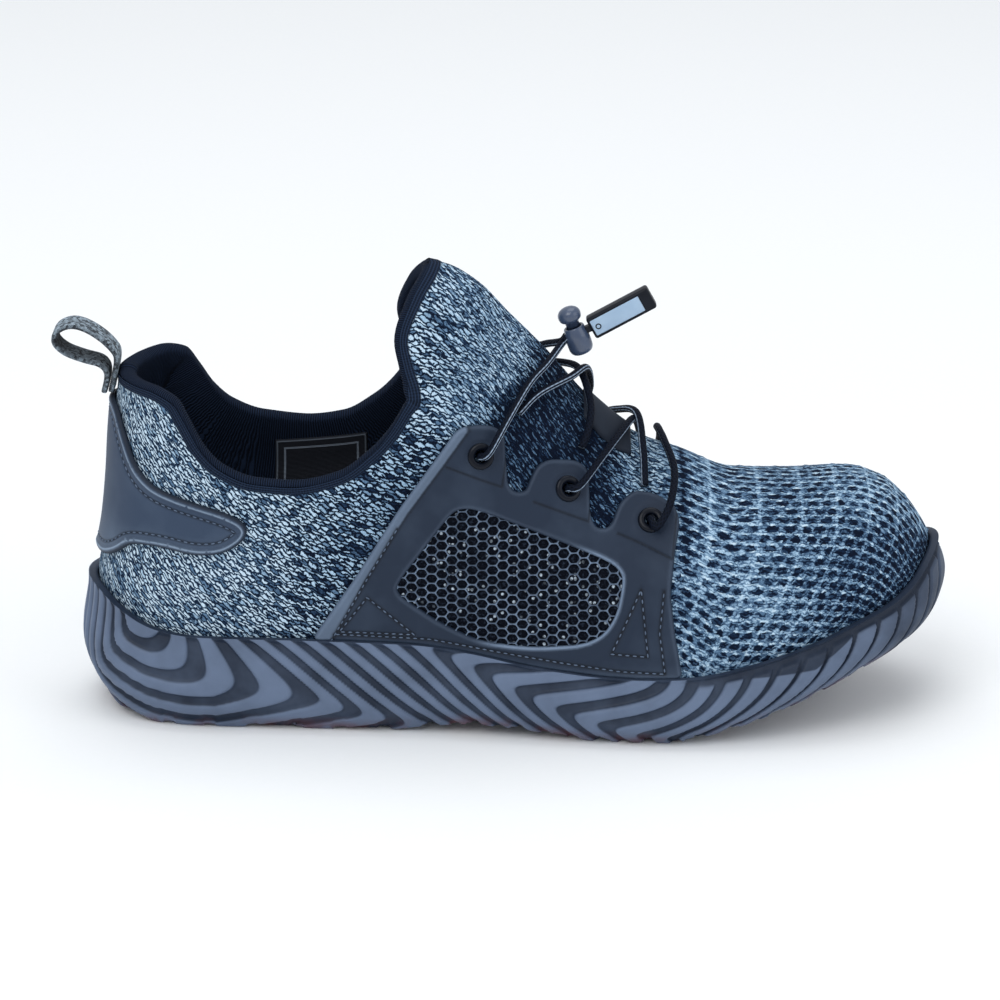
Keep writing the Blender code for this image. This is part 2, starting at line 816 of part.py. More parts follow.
def tread_stations():
    """Stations along the sole and how far each is cut up into a groove of the tread."""
    stations, lifts = [], []
    first, last = LUG_FIRST * SOLE_LENGTH, LUG_LAST * SOLE_LENGTH
    count = round((last - first) / LUG_PITCH)
    pitch = (last - first) / count
    for k in range(count + 1):
        middle = first + k * pitch
        top, foot = GROOVE_TOP * pitch / 2, GROOVE_FOOT * pitch / 2
        stations += [middle - top, middle - foot, middle + foot, middle + top, middle + pitch / 2]
        lifts += [0.0, LUG_DEPTH, LUG_DEPTH, 0.0, 0.0]
    ends = even_stations(SOLE_LOOP, END_STATIONS)
    heel = ends[ends < stations[0] - LUG_MARGIN]
    toe = ends[ends > stations[-1] + LUG_MARGIN]
    along = np.concatenate([heel, stations, toe])
    lifted = np.concatenate([heel * 0, lifts, toe * 0])
    return along, lifted


def make_sole(rubber):
    """The sole: ribbed sides, lugged tread and the cup the upper stands in."""
    stations, lifts = tread_stations()
    count = len(stations)
    points, faces = [], []

    def add(new_points, new_faces):
        start = sum(len(p) for p in points)
        points.append(np.asarray(new_points).reshape(-1, 3))
        faces.extend(tuple(start + v for v in face) for face in new_faces)

    edges, lips, rims, feet = [], [], [], []
    for sign in (-1, 1):
        side = Side(sign)
        add(*sole_side(side, stations, lifts))
        reach = side.reach(stations)
        edges.append(side.wall(reach, np.zeros(count), 0.0, lifts))
        lips.append(side.wall(reach, np.ones(count), 0.0))
        point, inward = side.at(reach)
        rim = point + inward * (LIP_INSET + LIP_WALL)
        rims.append(np.column_stack([rim, lip_line(stations)]))
        feet.append(np.column_stack([rim, foot_bed(rim[:, 0])]))
    share = np.array(TREAD_SHARES)[None, :, None]
    tread = edges[0][:, None] * (1 - share) + edges[1][:, None] * share
    ends = np.clip(np.minimum(stations, SOLE_LENGTH - stations) / (0.1 * SOLE_LENGTH), 0, 1)
    wave = np.cos(2 * math.pi * share[..., 0]) - 1
    tread[..., 0] += LUG_WAVE * ends[:, None] * wave * (share[..., 0] * (1 - share[..., 0]) > 0)
    add(tread, grid_faces(count, len(TREAD_SHARES)))
    for k in (0, 1):
        add(np.stack([lips[k], rims[k], feet[k]], 1), grid_faces(count, 3))
    add(np.stack(feet, 1), grid_faces(count, 2))
    return solid("sole", world(np.vstack(points)), faces, rubber, weld=2e-5)


def make_insole(foam):
    """The loose insole on the foot bed, with a slightly raised rim."""
    inset = UPPER_INSET + UPPER_WALL + 2 * GAP
    loop = SOLE_LOOP + inward_normals(SOLE_LOOP) * inset
    stations = even_stations(loop, INSOLE_STATIONS)
    outer, inner = halves(loop)
    left, right = np.interp(stations, *outer.T), np.interp(stations, *inner.T)
    left[0] = right[0] = outer[0, 1]
    left[-1] = right[-1] = outer[-1, 1]
    floor = foot_bed(stations) + GAP
    rim = INSOLE_RIM * np.clip((right - left) / (0.4 * BALL_WIDTH), 0, 1)
    rows = []
    for share, rise, edge in INSOLE_SECTION:
        y = left + (right - left) * share
        rows.append(np.stack([stations, y, floor + INSOLE_THICKNESS * rise + rim * edge], -1))
    ring = np.stack(rows, 1)
    faces = grid_faces(len(stations), len(rows), closed=True)
    return solid("insole", world(ring).reshape(-1, 3), faces, foam)


def upper_sheet():
    """Points and faces of the upper's outer skin, open at the collar and underneath."""
    rises = np.array(SIDE_RISES)
    foot = TONGUE_EDGE[0][1] * SOLE_LENGTH
    # Rear: columns from the foot of the tongue round the heel, rows from the foot bed up
    tail = even_stations(UPPER_LOOP, EDGE_SAMPLES)
    tail = tail[tail < foot]
    picks = np.linspace(0, len(tail) - 1, UPPER_REAR_STATIONS)
    stations = np.interp(picks, np.arange(len(tail)), tail)
    stations[-1] = foot
    along = np.concatenate([stations[:0:-1], stations])
    side = np.concatenate([-np.ones(UPPER_REAR_STATIONS - 1), np.ones(UPPER_REAR_STATIONS)])
    low = lip_line(along)
    rows = [wall_point(along, foot_bed(along) + 2 * GAP, side)]
    for rise in rises:
        height = low + (collar_height(along, side) - low) * rise / CORNER_RISE
        rows.append(wall_point(along, height, side))
    rear = np.array(rows)
    # Front: stations from the edge of the tongue to the toe, rows over the foot side to side
    spread = 1 - (1 - np.linspace(0, 1, UPPER_FRONT_STATIONS)) ** TOE_CROWDING
    tip = UPPER_LOOP[:, 0].max()
    climb = np.concatenate([rises, CROWN_RISES])
    rise = np.concatenate([climb, climb[-2::-1]])[None, :]
    side = np.concatenate([-np.ones(len(climb)), np.ones(len(climb) - 1)])[None, :]
    share = spread[:, None]
    rise = np.where(share < 1, rise, np.minimum(rise, CROWN_RISES[-2]))
    x = foot * (1 - share) + tip * share + 0 * rise
    for _ in range(EDGE_ROUNDS):
        height = lip_line(x) + (top_line(x) - lip_line(x)) * rise
        x = tongue_edge(height) * (1 - share) + tip * share
    body = wall_point(x, height, side)
    ground = foot * (1 - spread) + tip * spread
    level = foot_bed(ground) + 2 * GAP
    skirts = [wall_point(ground, level, sign + 0 * ground)[:, None] for sign in (-1, 1)]
    front = np.concatenate([skirts[0], body, skirts[1]], 1)
    points = np.vstack([rear.reshape(-1, 3), front.reshape(-1, 3)])
    faces = grid_faces(*rear.shape[:2])
    faces += grid_faces(*front.shape[:2], offset=rear.shape[0] * rear.shape[1])
    return world(points), faces


def collar_edge():
    """Places along the collar and the tongue's edge, seen from the side."""
    foot = TONGUE_EDGE[0][1] * SOLE_LENGTH
    along = np.linspace(UPPER_LOOP[:, 0].min(), foot, 80)
    heights = np.linspace(collar_line(foot), TONGUE_HEIGHT, 40)
    collar = np.stack([along, collar_line(along)], 1)
    return np.vstack([collar, np.stack([tongue_edge(heights), heights], 1)])


def make_upper(knit):
    """The knitted upper: one wall, thicker where the collar is padded."""
    points, faces = upper_sheet()
    obj = solid("upper", points, faces, knit, weld=2e-5)
    pad = obj.vertex_groups.new(name="padding")
    plain = UPPER_WALL / COLLAR_PAD
    edge = collar_edge()
    for vertex in obj.data.vertices:
        here = np.array([vertex.co.x + HEEL_SEAT, vertex.co.z])
        near = 1 - min(np.linalg.norm(edge - here, axis=1).min() / PAD_DEPTH, 1.0)
        pad.add([vertex.index], plain + (1 - plain) * near**2 * (3 - 2 * near), "REPLACE")
    wall = obj.modifiers.new("wall", "SOLIDIFY")
    wall.thickness = COLLAR_PAD
    wall.offset = -1.0
    wall.vertex_group = "padding"
    return obj


def skin(reach, height):
    """Upper's skin at a signed distance round its edge: outer side below zero, inner above."""
    reach, height = np.broadcast_arrays(np.asarray(reach, float), np.asarray(height, float))
    outer = np.interp(np.abs(reach), OUTER_RUN, UPPER_OUTER[:, 0])
    inner = np.interp(np.abs(reach), INNER_RUN, UPPER_INNER[:, 0])
    side = np.where(reach < 0, -1.0, 1.0)
    return wall_point(np.where(reach < 0, outer, inner), height, side)


def skin_slopes(reach, height, step=0.0008):
    """Directions in which the skin moves with the reach and with the height."""
    by_reach = (skin(reach + step, height) - skin(reach - step, height)) / (2 * step)
    by_height = (skin(reach, height + step) - skin(reach, height - step)) / (2 * step)
    return by_reach, by_height


def off_skin(reach, height, lift):
    """A point lifted off the skin, and the outward direction there."""
    by_reach, by_height = skin_slopes(reach, height)
    outward = unit(np.cross(by_height, by_reach))
    return skin(reach, height) + outward * np.asarray(lift)[..., None], outward


def placed(table, sign=1, mirrored=False):
    """A table of reach and height in metres, with heights of zero set just over the lip."""
    rows = np.array(table, float) * (SOLE_LENGTH, TONGUE_HEIGHT)
    half = UPPER_OUTER if sign < 0 else UPPER_INNER
    runs = OUTER_RUN if sign < 0 else INNER_RUN
    lip = lip_line(np.interp(rows[:, 0], runs, half[:, 0])) + 3 * GAP
    rows[:, 1] = np.maximum(rows[:, 1], lip)
    rows[:, 0] *= sign
    if mirrored:
        rows = np.vstack([rows, (rows * (-1, 1))[-2:0:-1]])
    return rows


def split_long(outline, step):
    """A closed outline with its long edges divided."""
    parts = []
    for a, b in zip(outline, np.roll(outline, -1, 0)):
        count = max(1, math.ceil(np.linalg.norm(b - a) / step))
        t = np.linspace(0, 1, count, endpoint=False)[:, None]
        parts.append(a * (1 - t) + b * t)
    return np.vstack(parts)


def contains(outline, points):
    """Which points lie inside a closed outline."""
    inside = np.zeros(len(points), bool)
    for a, b in zip(outline, np.roll(outline, -1, 0)):
        spans = (a[1] > points[:, 1]) != (b[1] > points[:, 1])
        rise = b[1] - a[1] if b[1] != a[1] else 1.0
        inside ^= spans & (points[:, 0] < a[0] + (b[0] - a[0]) * (points[:, 1] - a[1]) / rise)
    return inside


def nearest_edge(outline, points):
    """Distance from each point to a closed outline."""
    best = np.full(len(points), np.inf)
    for a, b in zip(outline, np.roll(outline, -1, 0)):
        edge = b - a
        t = np.clip(((points - a) @ edge) / max(edge @ edge, 1e-12), 0, 1)
        best = np.minimum(best, np.linalg.norm(points - a - t[:, None] * edge, axis=1))
    return best


def laid_on(name, outline, holes, lift, thickness, surface, step=PATCH_STEP):
    """A plate of even thickness laid on the upper's skin, with holes through it."""
    loops = [split_long(outline, step), *holes]
    points, edges = [], []
    for loop in loops:
        start, size = len(points), len(loop)
        points.extend(loop)
        edges.extend((start + k, start + (k + 1) % size) for k in range(size))
    low, high = outline.min(0), outline.max(0)
    inner = np.stack(np.meshgrid(*[np.arange(low[k], high[k], step) for k in (0, 1)]), -1)
    inner = inner.reshape(-1, 2)
    keep = contains(outline, inner)
    for loop in loops:
        keep &= nearest_edge(loop, inner) > step * 0.45
    for hole in holes:
        keep &= ~contains(hole, inner)
    points = np.vstack([points, inner[keep]])
    corners, _, faces = triangulate(points, edges, inside_only=True)
    middles = np.array([corners[list(face)].mean(0) for face in faces])
    for hole in holes:
        out = contains(hole, middles)
        faces = [face for face, drop in zip(faces, out) if not drop]
        middles = middles[~out]
    under, outward = off_skin(corners[:, 0], corners[:, 1], np.full(len(corners), lift))
    over = under + outward * thickness
    size = len(corners)
    shared = {}
    for face in faces:
        for a, b in zip(face, face[1:] + face[:1]):
            shared[(a, b)] = shared.get((a, b), 0) + 1
    rim = [(a, b) for a, b in shared if (b, a) not in shared]
    walls = [(b, a, a + size, b + size) for a, b in rim]
    both = faces + [tuple(v + size for v in face[::-1]) for face in faces] + walls
    return solid(name, world(np.vstack([under, over])), both, surface)


def ring_on_skin(reach, height, radius, count):
    """A circle round a place on the skin, as reaches and heights."""
    by_reach, by_height = skin_slopes(reach, height)
    first = unit(by_reach)
    outward = unit(np.cross(by_height, by_reach))
    second = np.cross(outward, first)
    to_flat = np.array([[by_reach @ first, by_height @ first], [0.0, by_height @ second]])
    turn = np.arange(count) * 2 * math.pi / count
    circle = np.stack([np.cos(turn), np.sin(turn)]) * radius
    return (np.linalg.solve(to_flat, circle) + np.array([[reach], [height]])).T


def turned(profile, origin, axis, segments, first=None):
    """A closed profile of radii and heights turned round an axis."""
    axis = unit(np.asarray(axis, float))
    helper = np.array([0.0, 1.0, 0.0]) if first is None else first
    across = unit(np.cross(axis, helper))
    up = np.cross(axis, across)
    turn = np.arange(segments) * 2 * math.pi / segments
    spokes = np.cos(turn)[:, None] * across + np.sin(turn)[:, None] * up
    radii, heights = np.array(profile).T
    ring = radii[None, :, None] * spokes[:, None] + heights[None, :, None] * axis
    points = np.asarray(origin) + ring
    rows = len(profile)
    faces = []
    for r in range(segments):
        n = (r + 1) % segments
        for c in range(rows):
            d = (c + 1) % rows
            if radii[c] == 0 and radii[d] == 0:
                continue
            quad = (r * rows + c, r * rows + d, n * rows + d, n * rows + c)
            faces.append(quad)
    return points.reshape(-1, 3), faces


def over_foot(along, over):
    """A point of the upper's skin on a walk over the foot, from -1 outside to 1 inside."""
    share = 1 - 0.5 * np.abs(over) ** 1.6
    height = lip_line(along) + (top_line(along) - lip_line(along)) * share
    return wall_point(along, height, np.where(np.asarray(over) < 0, -1.0, 1.0))


def lifted_over(along, over, lift):
    """The same point lifted off the skin."""
    step = 0.02
    ahead = over_foot(along + 0.001, over) - over_foot(along - 0.001, over)
    across = over_foot(along, over + step) - over_foot(along, over - step)
    return over_foot(along, over) + unit(np.cross(ahead, across)) * np.asarray(lift)[..., None]


def rounded(points, steps):
    """A smooth path through points."""
    points = np.asarray(points, float)
    padded = np.vstack([2 * points[0] - points[1], points, 2 * points[-1] - points[-2]])
    t = np.linspace(0, 1, steps, endpoint=False)[:, None]
    parts = []
    for a, b, c, d in zip(padded, padded[1:], padded[2:], padded[3:]):
        curve = 2 * b + (c - a) * t + (2 * a - 5 * b + 4 * c - d) * t**2
        parts.append(0.5 * (curve + (3 * b - a - 3 * c + d) * t**3))
    return np.vstack([*parts, points[-1:]])


def swept(path, section, first=None):
    """Points and faces of a closed section carried along a path, with flat ends."""
    path = np.asarray(path, float)
    heading = unit(np.gradient(path, axis=0))
    side = np.array([0.0, 1.0, 0.0]) if first is None else np.asarray(first, float)
    rings = []
    for place, ahead in zip(path, heading):
        side = unit(side - ahead * (side @ ahead))
        up = np.cross(ahead, side)
        rings.append(place + section[:, :1] * side + section[:, 1:] * up)
    count = len(section)
    faces = grid_faces(len(path), count, closed=True)
    last = (len(path) - 1) * count
    faces += [tuple(range(count)), tuple(last + k for k in range(count))[::-1]]
    return np.vstack(rings), faces


def circle(radius, count, start=0.0):
    """A closed round section."""
    turn = start + np.arange(count) * 2 * math.pi / count
    return np.stack([np.cos(turn), np.sin(turn)], 1) * radius


def lace_path(table, mirrored=False, steps=2):
    """Middle line of a lace from a table of along, over and lift."""
    rows = np.array(table, float)
    over = -rows[:, 1] if mirrored else rows[:, 1]
    points = lifted_over(rows[:, 0] * SOLE_LENGTH, over, rows[:, 2] * LACE_WIDTH)
    return rounded(points, steps)


def joined(name, first, second):
    """Two bodies that touch, made one."""
    union = first.modifiers.new("joined", "BOOLEAN")
    union.operation = "UNION"
    union.solver = "EXACT"
    union.object = second
    second.hide_render = True
    second.display_type = "WIRE"
    first.name = name
    return first


def cut_out(obj, cutter):
    """Cuts one body out of another."""
    cut = obj.modifiers.new("cut", "BOOLEAN")
    cut.operation = "DIFFERENCE"
    cut.solver = "EXACT"
    cut.object = cutter
    cutter.hide_render = True
    cutter.display_type = "WIRE"


def make_overlays(skinned, panel, metal):
    """Saddles with their windows and eyelets on both sides, and the heel counter."""
    for sign, name in ((-1, "lateral"), (1, "medial")):
        outline, window = placed(SADDLE, sign), placed(WINDOW, sign)
        holes = [split_long(window, PANE_STEP)]
        for number, (reach, height) in enumerate(EYELETS, 1):
            reach, height = sign * reach * SOLE_LENGTH, height * TONGUE_HEIGHT
            holes.append(ring_on_skin(reach, height, EYELET_BARREL + GAP, 8))
            base, outward = off_skin(reach, height, 0.0)
            seat = OVERLAY_LIFT + OVERLAY_THICKNESS + GAP
            profile = (
                (EYELET_BORE, OVERLAY_LIFT),
                (EYELET_BORE, seat + EYELET_FLANGE),
                (EYELET_RADIUS, seat + 0.6 * EYELET_FLANGE),
                (EYELET_RADIUS, seat),
                (EYELET_BARREL, seat),
                (EYELET_BARREL, OVERLAY_LIFT),
            )
            points, faces = turned(profile, base, outward, 8, np.array([0.0, 0.0, 1.0]))
            solid(f"eyelet_{name}_{number}", world(points), faces, metal)
        laid_on(f"saddle_{name}", outline, holes, OVERLAY_LIFT, OVERLAY_THICKNESS, skinned)
        middle = window.mean(0)
        shrink = 1 - 2 * GAP / np.linalg.norm(window - middle, axis=1, keepdims=True)
        pane = middle + (window - middle) * shrink
        laid_on(f"window_{name}", pane, [], OVERLAY_LIFT, WINDOW_THICKNESS, panel, PANE_STEP)
    counter = placed(COUNTER, 1, mirrored=True)
    laid_on("heel_counter", counter, [], OVERLAY_LIFT, OVERLAY_THICKNESS, skinned)


def make_laces(cord, skinned):
    """Laces over the tongue, their two ends and the patch they run over."""
    round_lace = circle(LACE_WIDTH / 2, 6)
    points, faces = swept(lace_path(BAR), round_lace)
    solid("lace_bar", world(points), faces, cord)
    for name, table in (("lace_cross_lower", LOWER_CROSS), ("lace_cross_upper", UPPER_CROSS)):
        strands = []
        for mirrored in (False, True):
            path = lace_path(table, mirrored)
            path[:, 2] += (CROSSING_STEP if mirrored else -CROSSING_STEP) * LACE_WIDTH
            points, faces = swept(path, circle(LACE_WIDTH / 2, 6, 0.35 * mirrored))
            strands.append(solid(f"{name}_{int(mirrored)}", world(points), faces, cord))
        joined(name, *strands)
    rows = np.array(KEEPER)
    shares = np.array((-1.0, -0.5, 0.0, 0.5, 1.0))
    rings = []
    for level in (GAP * 2, GAP * 2 + WINDOW_THICKNESS):
        over = rows[:, 1:] * shares
        along = rows[:, :1] * SOLE_LENGTH + 0 * shares
        rings.append(lifted_over(along, over, np.full(over.shape, level)))
    plate = np.concatenate([rings[0], rings[1][:, ::-1]], 1)
    count = plate.shape[1]
    faces = grid_faces(len(rows), count, closed=True)
    last = (len(rows) - 1) * count
    for start in (0, last):
        for k in range(len(shares) - 1):
            top = count - 1 - k
            faces.append((start + k, start + k + 1, start + top - 1, start + top))
    solid("lace_keeper", world(plate).reshape(-1, 3), faces, skinned)


def make_lock(cord, plastic, plate_finish):
    """Sprung lock on the lace ends: barrel, button, end clip with its face plate."""
    place = np.array([LOCK_ALONG, LOCK_ACROSS, LOCK_HEIGHT])
    along_cord = np.array([math.cos(LOCK_RISE), 0.0, math.sin(LOCK_RISE)])
    down = np.array([math.sin(LOCK_RISE), 0.0, -math.cos(LOCK_RISE)])
    foot = BARREL_LENGTH - BARREL_ABOVE
    profile = (
        (BORE_RADIUS, -BARREL_ABOVE),
        (BARREL_RADIUS, -BARREL_ABOVE),
        (BARREL_RADIUS, foot - BARREL_CHAMFER),
        (BARREL_RADIUS - BARREL_CHAMFER, foot),
        (0.0, foot),
        (0.0, foot - BORE_FLOOR),
        (BORE_RADIUS, foot - BORE_FLOOR),
    )
    points, faces = turned(profile, place, down, BARREL_SEGMENTS)
    barrel = solid("cord_lock_body", world(points), faces, plastic)
    slot_width, slot_height = 2 * LACE_WIDTH + 2 * GAP, LACE_WIDTH + 2 * GAP
    half = BARREL_RADIUS * SLOT_REACH
    section = SQUARE * (slot_width / 2, slot_height / 2)
    points, faces = swept([place - along_cord * half, place + along_cord * half], section)
    cut_out(barrel, solid("slot", world(points), faces, plastic))
    under = BARREL_ABOVE + BUTTON_TRAVEL + GAP
    profile = (
        *((r * BUTTON_RADIUS, -under - h * BUTTON_HEIGHT) for r, h in BUTTON_PROFILE),
        (STEM_RADIUS, -under),
        (STEM_RADIUS, foot - BORE_FLOOR - BUTTON_TRAVEL - 2 * GAP),
        (0.0, foot - BORE_FLOOR - BUTTON_TRAVEL - 2 * GAP),
    )
    points, faces = turned(profile, place, down, BUTTON_SEGMENTS)
    solid("cord_lock_button", world(points), faces, plastic)
    # Lace ends stop inside the slot, clear of the stem
    stop = BORE_RADIUS + GAP
    for sign, name in ((-1, "lateral"), (1, "medial")):
        rows = np.array(LACE_END)
        over = rows[:, 1] * -sign
        on_foot = lifted_over(rows[:, 0] * SOLE_LENGTH, over, rows[:, 2] * LACE_WIDTH)
        beside = np.array([0.0, sign * (LACE_WIDTH + 1.2 * GAP) / 2, 0.0])
        inside = place + beside - along_cord * stop
        outside = place + CORD_SPREAD * beside - along_cord * CORD_STRAIGHT * BARREL_RADIUS
        path = np.vstack([rounded(np.vstack([on_foot, outside]), 2), inside])
        points, faces = swept(path, circle(LACE_WIDTH / 2, 6))
        solid(f"lace_end_{name}", world(points), faces, cord)
    # Clip: a frame with a recess for its face plate, and a stub into the slot
    along_clip = np.array([math.cos(CLIP_RISE), 0.0, math.sin(CLIP_RISE)])
    start = place + along_cord * (BARREL_RADIUS + 4 * GAP)
    finish_at = start + along_clip * CLIP_LENGTH
    box = SQUARE * (CLIP_THICKNESS / 2, CLIP_WIDTH / 2)
    points, faces = swept([start, finish_at], box)
    clip = solid("cord_clip", world(points), faces, plastic)
    edge = clip.modifiers.new("edge", "BEVEL")
    edge.width = CLIP_EDGE
    edge.segments = 1
    neck = SQUARE * (NECK_SHARE * slot_width, NECK_SHARE * slot_height)
    into = start + along_clip * CLIP_NECK
    points, faces = swept([place + along_cord * stop, start, into], neck)
    joined("cord_clip", clip, solid("clip_neck", world(points), faces, plastic))
    face_out = np.array([0.0, -1.0, 0.0])
    recess_depth = PLATE_THICKNESS * PLATE_SUNK
    near = start + along_clip * CLIP_RIM
    far = finish_at - along_clip * PLATE_SHORT * CLIP_RIM
    tall = CLIP_WIDTH / 2 - CLIP_RIM
    level = face_out * (CLIP_THICKNESS / 2)
    well = SQUARE * (recess_depth, tall)
    points, faces = swept([near + level, far + level], well)
    cut_out(clip, solid("clip_well", world(points), faces, plastic))
    sheet = SQUARE * (PLATE_THICKNESS / 2, tall - GAP)
    sit = face_out * (CLIP_THICKNESS / 2 - recess_depth + GAP + PLATE_THICKNESS / 2)
    ends = [near + sit + along_clip * GAP, far + sit - along_clip * GAP]
    points, faces = swept(ends, sheet)
    plate = solid("clip_plate", world(points), faces, plate_finish)
    pin = start + along_clip * HOLE_IN * CLIP_RIM + (0.0, -CLIP_THICKNESS, 0.0)
    through = [pin, pin + (0.0, 2 * CLIP_THICKNESS, 0.0)]
    points, faces = swept(through, circle(CLIP_HOLE_RADIUS, 8), along_clip)
    hole = solid("clip_hole", world(points), faces, plastic)
    cut_out(clip, hole)
    cut_out(plate, hole)


def make_pull_loop(webbing):
    """The strap that stands off the back of the heel."""
    rows = np.array(PULL_LOOP) * (SOLE_LENGTH, TONGUE_HEIGHT)
    path = rounded(np.stack([rows[:, 0], 0 * rows[:, 0], rows[:, 1]], -1), 2)
    points, faces = swept(path, SQUARE * (STRAP_WIDTH / 2, STRAP_THICKNESS / 2))
    solid("pull_loop", world(points), faces, webbing)


def main():
    """Builds the shoe."""
    for obj in list(bpy.data.objects):
        bpy.data.objects.remove(obj)
    rubber = finish("moulded_rubber", (0.055, 0.085, 0.125), 0.75)
    knit = finish("blue_grey_knit", (0.10, 0.18, 0.28), 0.95)
    foam = finish("dark_foam", (0.02, 0.03, 0.05), 0.9)
    skinned = finish("navy_synthetic", (0.035, 0.060, 0.095), 0.6)
    panel = finish("dark_mesh", (0.015, 0.025, 0.045), 0.7)
    metal = finish("black_enamel", (0.01, 0.01, 0.015), 0.25, 0.8)
    cord = finish("black_cord", (0.015, 0.018, 0.025), 0.8)
    plastic = finish("black_plastic", (0.012, 0.018, 0.03), 0.4)
    plate = finish("pale_plate", (0.36, 0.50, 0.66), 0.45)
    webbing = finish("grey_webbing", (0.10, 0.15, 0.22), 0.95)
    make_sole(rubber)
    make_insole(foam)
    make_upper(knit)
    make_overlays(skinned, panel, metal)
    make_laces(cord, skinned)
    make_lock(cord, plastic, plate)
    make_pull_loop(webbing)


main()
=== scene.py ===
"""Looks of the knit safety sneaker: its knit, overlays, ribbed sole, laces, lock and the studio.

Everything is in metres, +X to the toe, +Y to the inner side of the foot and +Z up, with the
origin on the floor under the heel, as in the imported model. Surfaces are worked out as whole
arrays: a form is a function of two parameters on a grid, or a profile carried along a path.
"""

import logging  # noqa: E402
import math  # noqa: E402
from dataclasses import dataclass, field  # noqa: E402
from enum import Enum  # noqa: E402
from typing import Optional, Sequence, Union  # noqa: E402

import bmesh  # noqa: E402
import bpy  # noqa: E402
import numpy as np  # noqa: E402
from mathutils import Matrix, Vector  # noqa: E402
from mathutils.geometry import delaunay_2d_cdt  # noqa: E402


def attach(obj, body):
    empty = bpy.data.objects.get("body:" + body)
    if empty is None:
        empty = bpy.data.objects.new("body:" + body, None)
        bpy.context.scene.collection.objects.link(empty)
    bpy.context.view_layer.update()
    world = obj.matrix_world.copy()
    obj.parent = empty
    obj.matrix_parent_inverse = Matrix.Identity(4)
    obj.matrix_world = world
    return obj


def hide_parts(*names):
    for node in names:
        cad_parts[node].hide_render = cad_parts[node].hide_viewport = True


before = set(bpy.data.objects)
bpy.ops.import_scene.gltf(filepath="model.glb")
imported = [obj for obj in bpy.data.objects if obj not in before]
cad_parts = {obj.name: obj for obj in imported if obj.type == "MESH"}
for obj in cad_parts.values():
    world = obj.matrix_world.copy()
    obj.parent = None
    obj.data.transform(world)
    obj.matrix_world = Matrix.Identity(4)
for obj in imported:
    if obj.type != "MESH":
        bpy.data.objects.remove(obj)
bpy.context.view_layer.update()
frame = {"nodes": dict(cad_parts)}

log = logging.getLogger("sneaker")
MM = 0.001
# Points of a mesh that are nearer than this, in metres, become one.
WELD = 2e-5
FINE_WELD = 1e-6
Colour = tuple[float, float, float]
Array = np.ndarray
Material = bpy.types.Material
Piece = bpy.types.Object
Rows = Sequence[Sequence[float]]
Socket = bpy.types.NodeSocket
Value = Union["Signal", Socket, Colour, float]


class Flank(Enum):
    """The two sides of a right shoe."""

    OUTER = -1
    INNER = 1

    @property
    def word(self) -> str:
        """The side's name, as the solids' names have it."""
        return "lateral" if self is Flank.OUTER else "medial"

    @property
    def half(self) -> int:
        """Number of the side's half of an outline."""
        return 0 if self is Flank.OUTER else 1


def unit(vectors: Array) -> Array:
    """Vectors scaled to length one."""
    return vectors / np.maximum(np.linalg.norm(vectors, axis=-1, keepdims=True), 1e-12)


def run_length(path: Array) -> Array:
    """Distance walked along a path at each of its points."""
    return np.concatenate([[0.0], np.cumsum(np.linalg.norm(np.diff(path, axis=0), axis=1))])


def ease(x: Array) -> Array:
    """Rises from 0 to 1 as x does, level at both ends: 3x^2 - 2x^3."""
    x = np.clip(x, 0, 1)
    return x * x * (3 - 2 * x)


def noise_field(x: Array, y: Array, size: float, seed: int) -> Array:
    """Soft seeded unevenness from -1 to 1.

    Formula: a sum of nine plane waves whose lengths lie round size and whose directions and
    phases are drawn from the seed.

    Args:
        x: First coordinate in metres.
        y: Second coordinate in metres.
        size: Mean wave length in metres.
        seed: Seed of the draw.

    Returns:
        The unevenness at each place.
    """
    draw = np.random.default_rng(seed)
    total = np.zeros(np.broadcast(x, y).shape)
    for _ in range(9):
        turn, phase = draw.uniform(0, 2 * math.pi, 2)
        wave = 2 * math.pi / (size * draw.uniform(0.6, 1.6))
        total = total + np.sin(wave * (x * math.cos(turn) + y * math.sin(turn)) + phase)
    return total / 5.0


class Curve:
    """Monotone cubic through a table of rising places and values."""

    def __init__(self, places: Sequence[float], values: Sequence[float]) -> None:
        """Keeps the knots and works out the slope at each: the harmonic mean of its neighbours.

        Args:
            places: Places of the knots, rising.
            values: Values there.
        """
        self.at = np.asarray(places, float)
        self.values = np.asarray(values, float)
        self.step = np.diff(self.at)
        slope = np.diff(self.values) / self.step
        before, after = slope[:-1], slope[1:]
        same = before * after > 0
        first, second = 2 * self.step[1:] + self.step[:-1], self.step[1:] + 2 * self.step[:-1]
        mean = (first + second) / (
            first / np.where(same, before, 1.0) + second / np.where(same, after, 1.0)
        )
        self.slope = np.concatenate([slope[:1], np.where(same, mean, 0.0), slope[-1:]])

    def __call__(self, x: Union[float, Array]) -> Array:
        """Value at x, held level beyond the first and last knots.

        Args:
            x: Place or places.

        Returns:
            The values there.
        """
        x = np.clip(np.asarray(x, float), self.at[0], self.at[-1])
        k = np.clip(np.searchsorted(self.at, x, side="right") - 1, 0, len(self.step) - 1)
        t = (x - self.at[k]) / self.step[k]
        start = self.values[k] * (1 + 2 * t) + self.slope[k] * self.step[k] * t
        end = self.values[k + 1] * (3 - 2 * t) - self.slope[k + 1] * self.step[k] * (1 - t)
        return start * (1 - t) ** 2 + end * t**2


def table_curves(rows: Rows, along: float, scales: Sequence[float]) -> list[Curve]:
    """Curves through the columns of a table whose first column is the place.

    Args:
        rows: The table.
        along: Size that the first column is a share of.
        scales: Size that each further column is a share of.

    Returns:
        One curve for each further column.
    """
    data = np.asarray(rows, float)
    return [Curve(data[:, 0] * along, data[:, k + 1] * s) for k, s in enumerate(scales)]


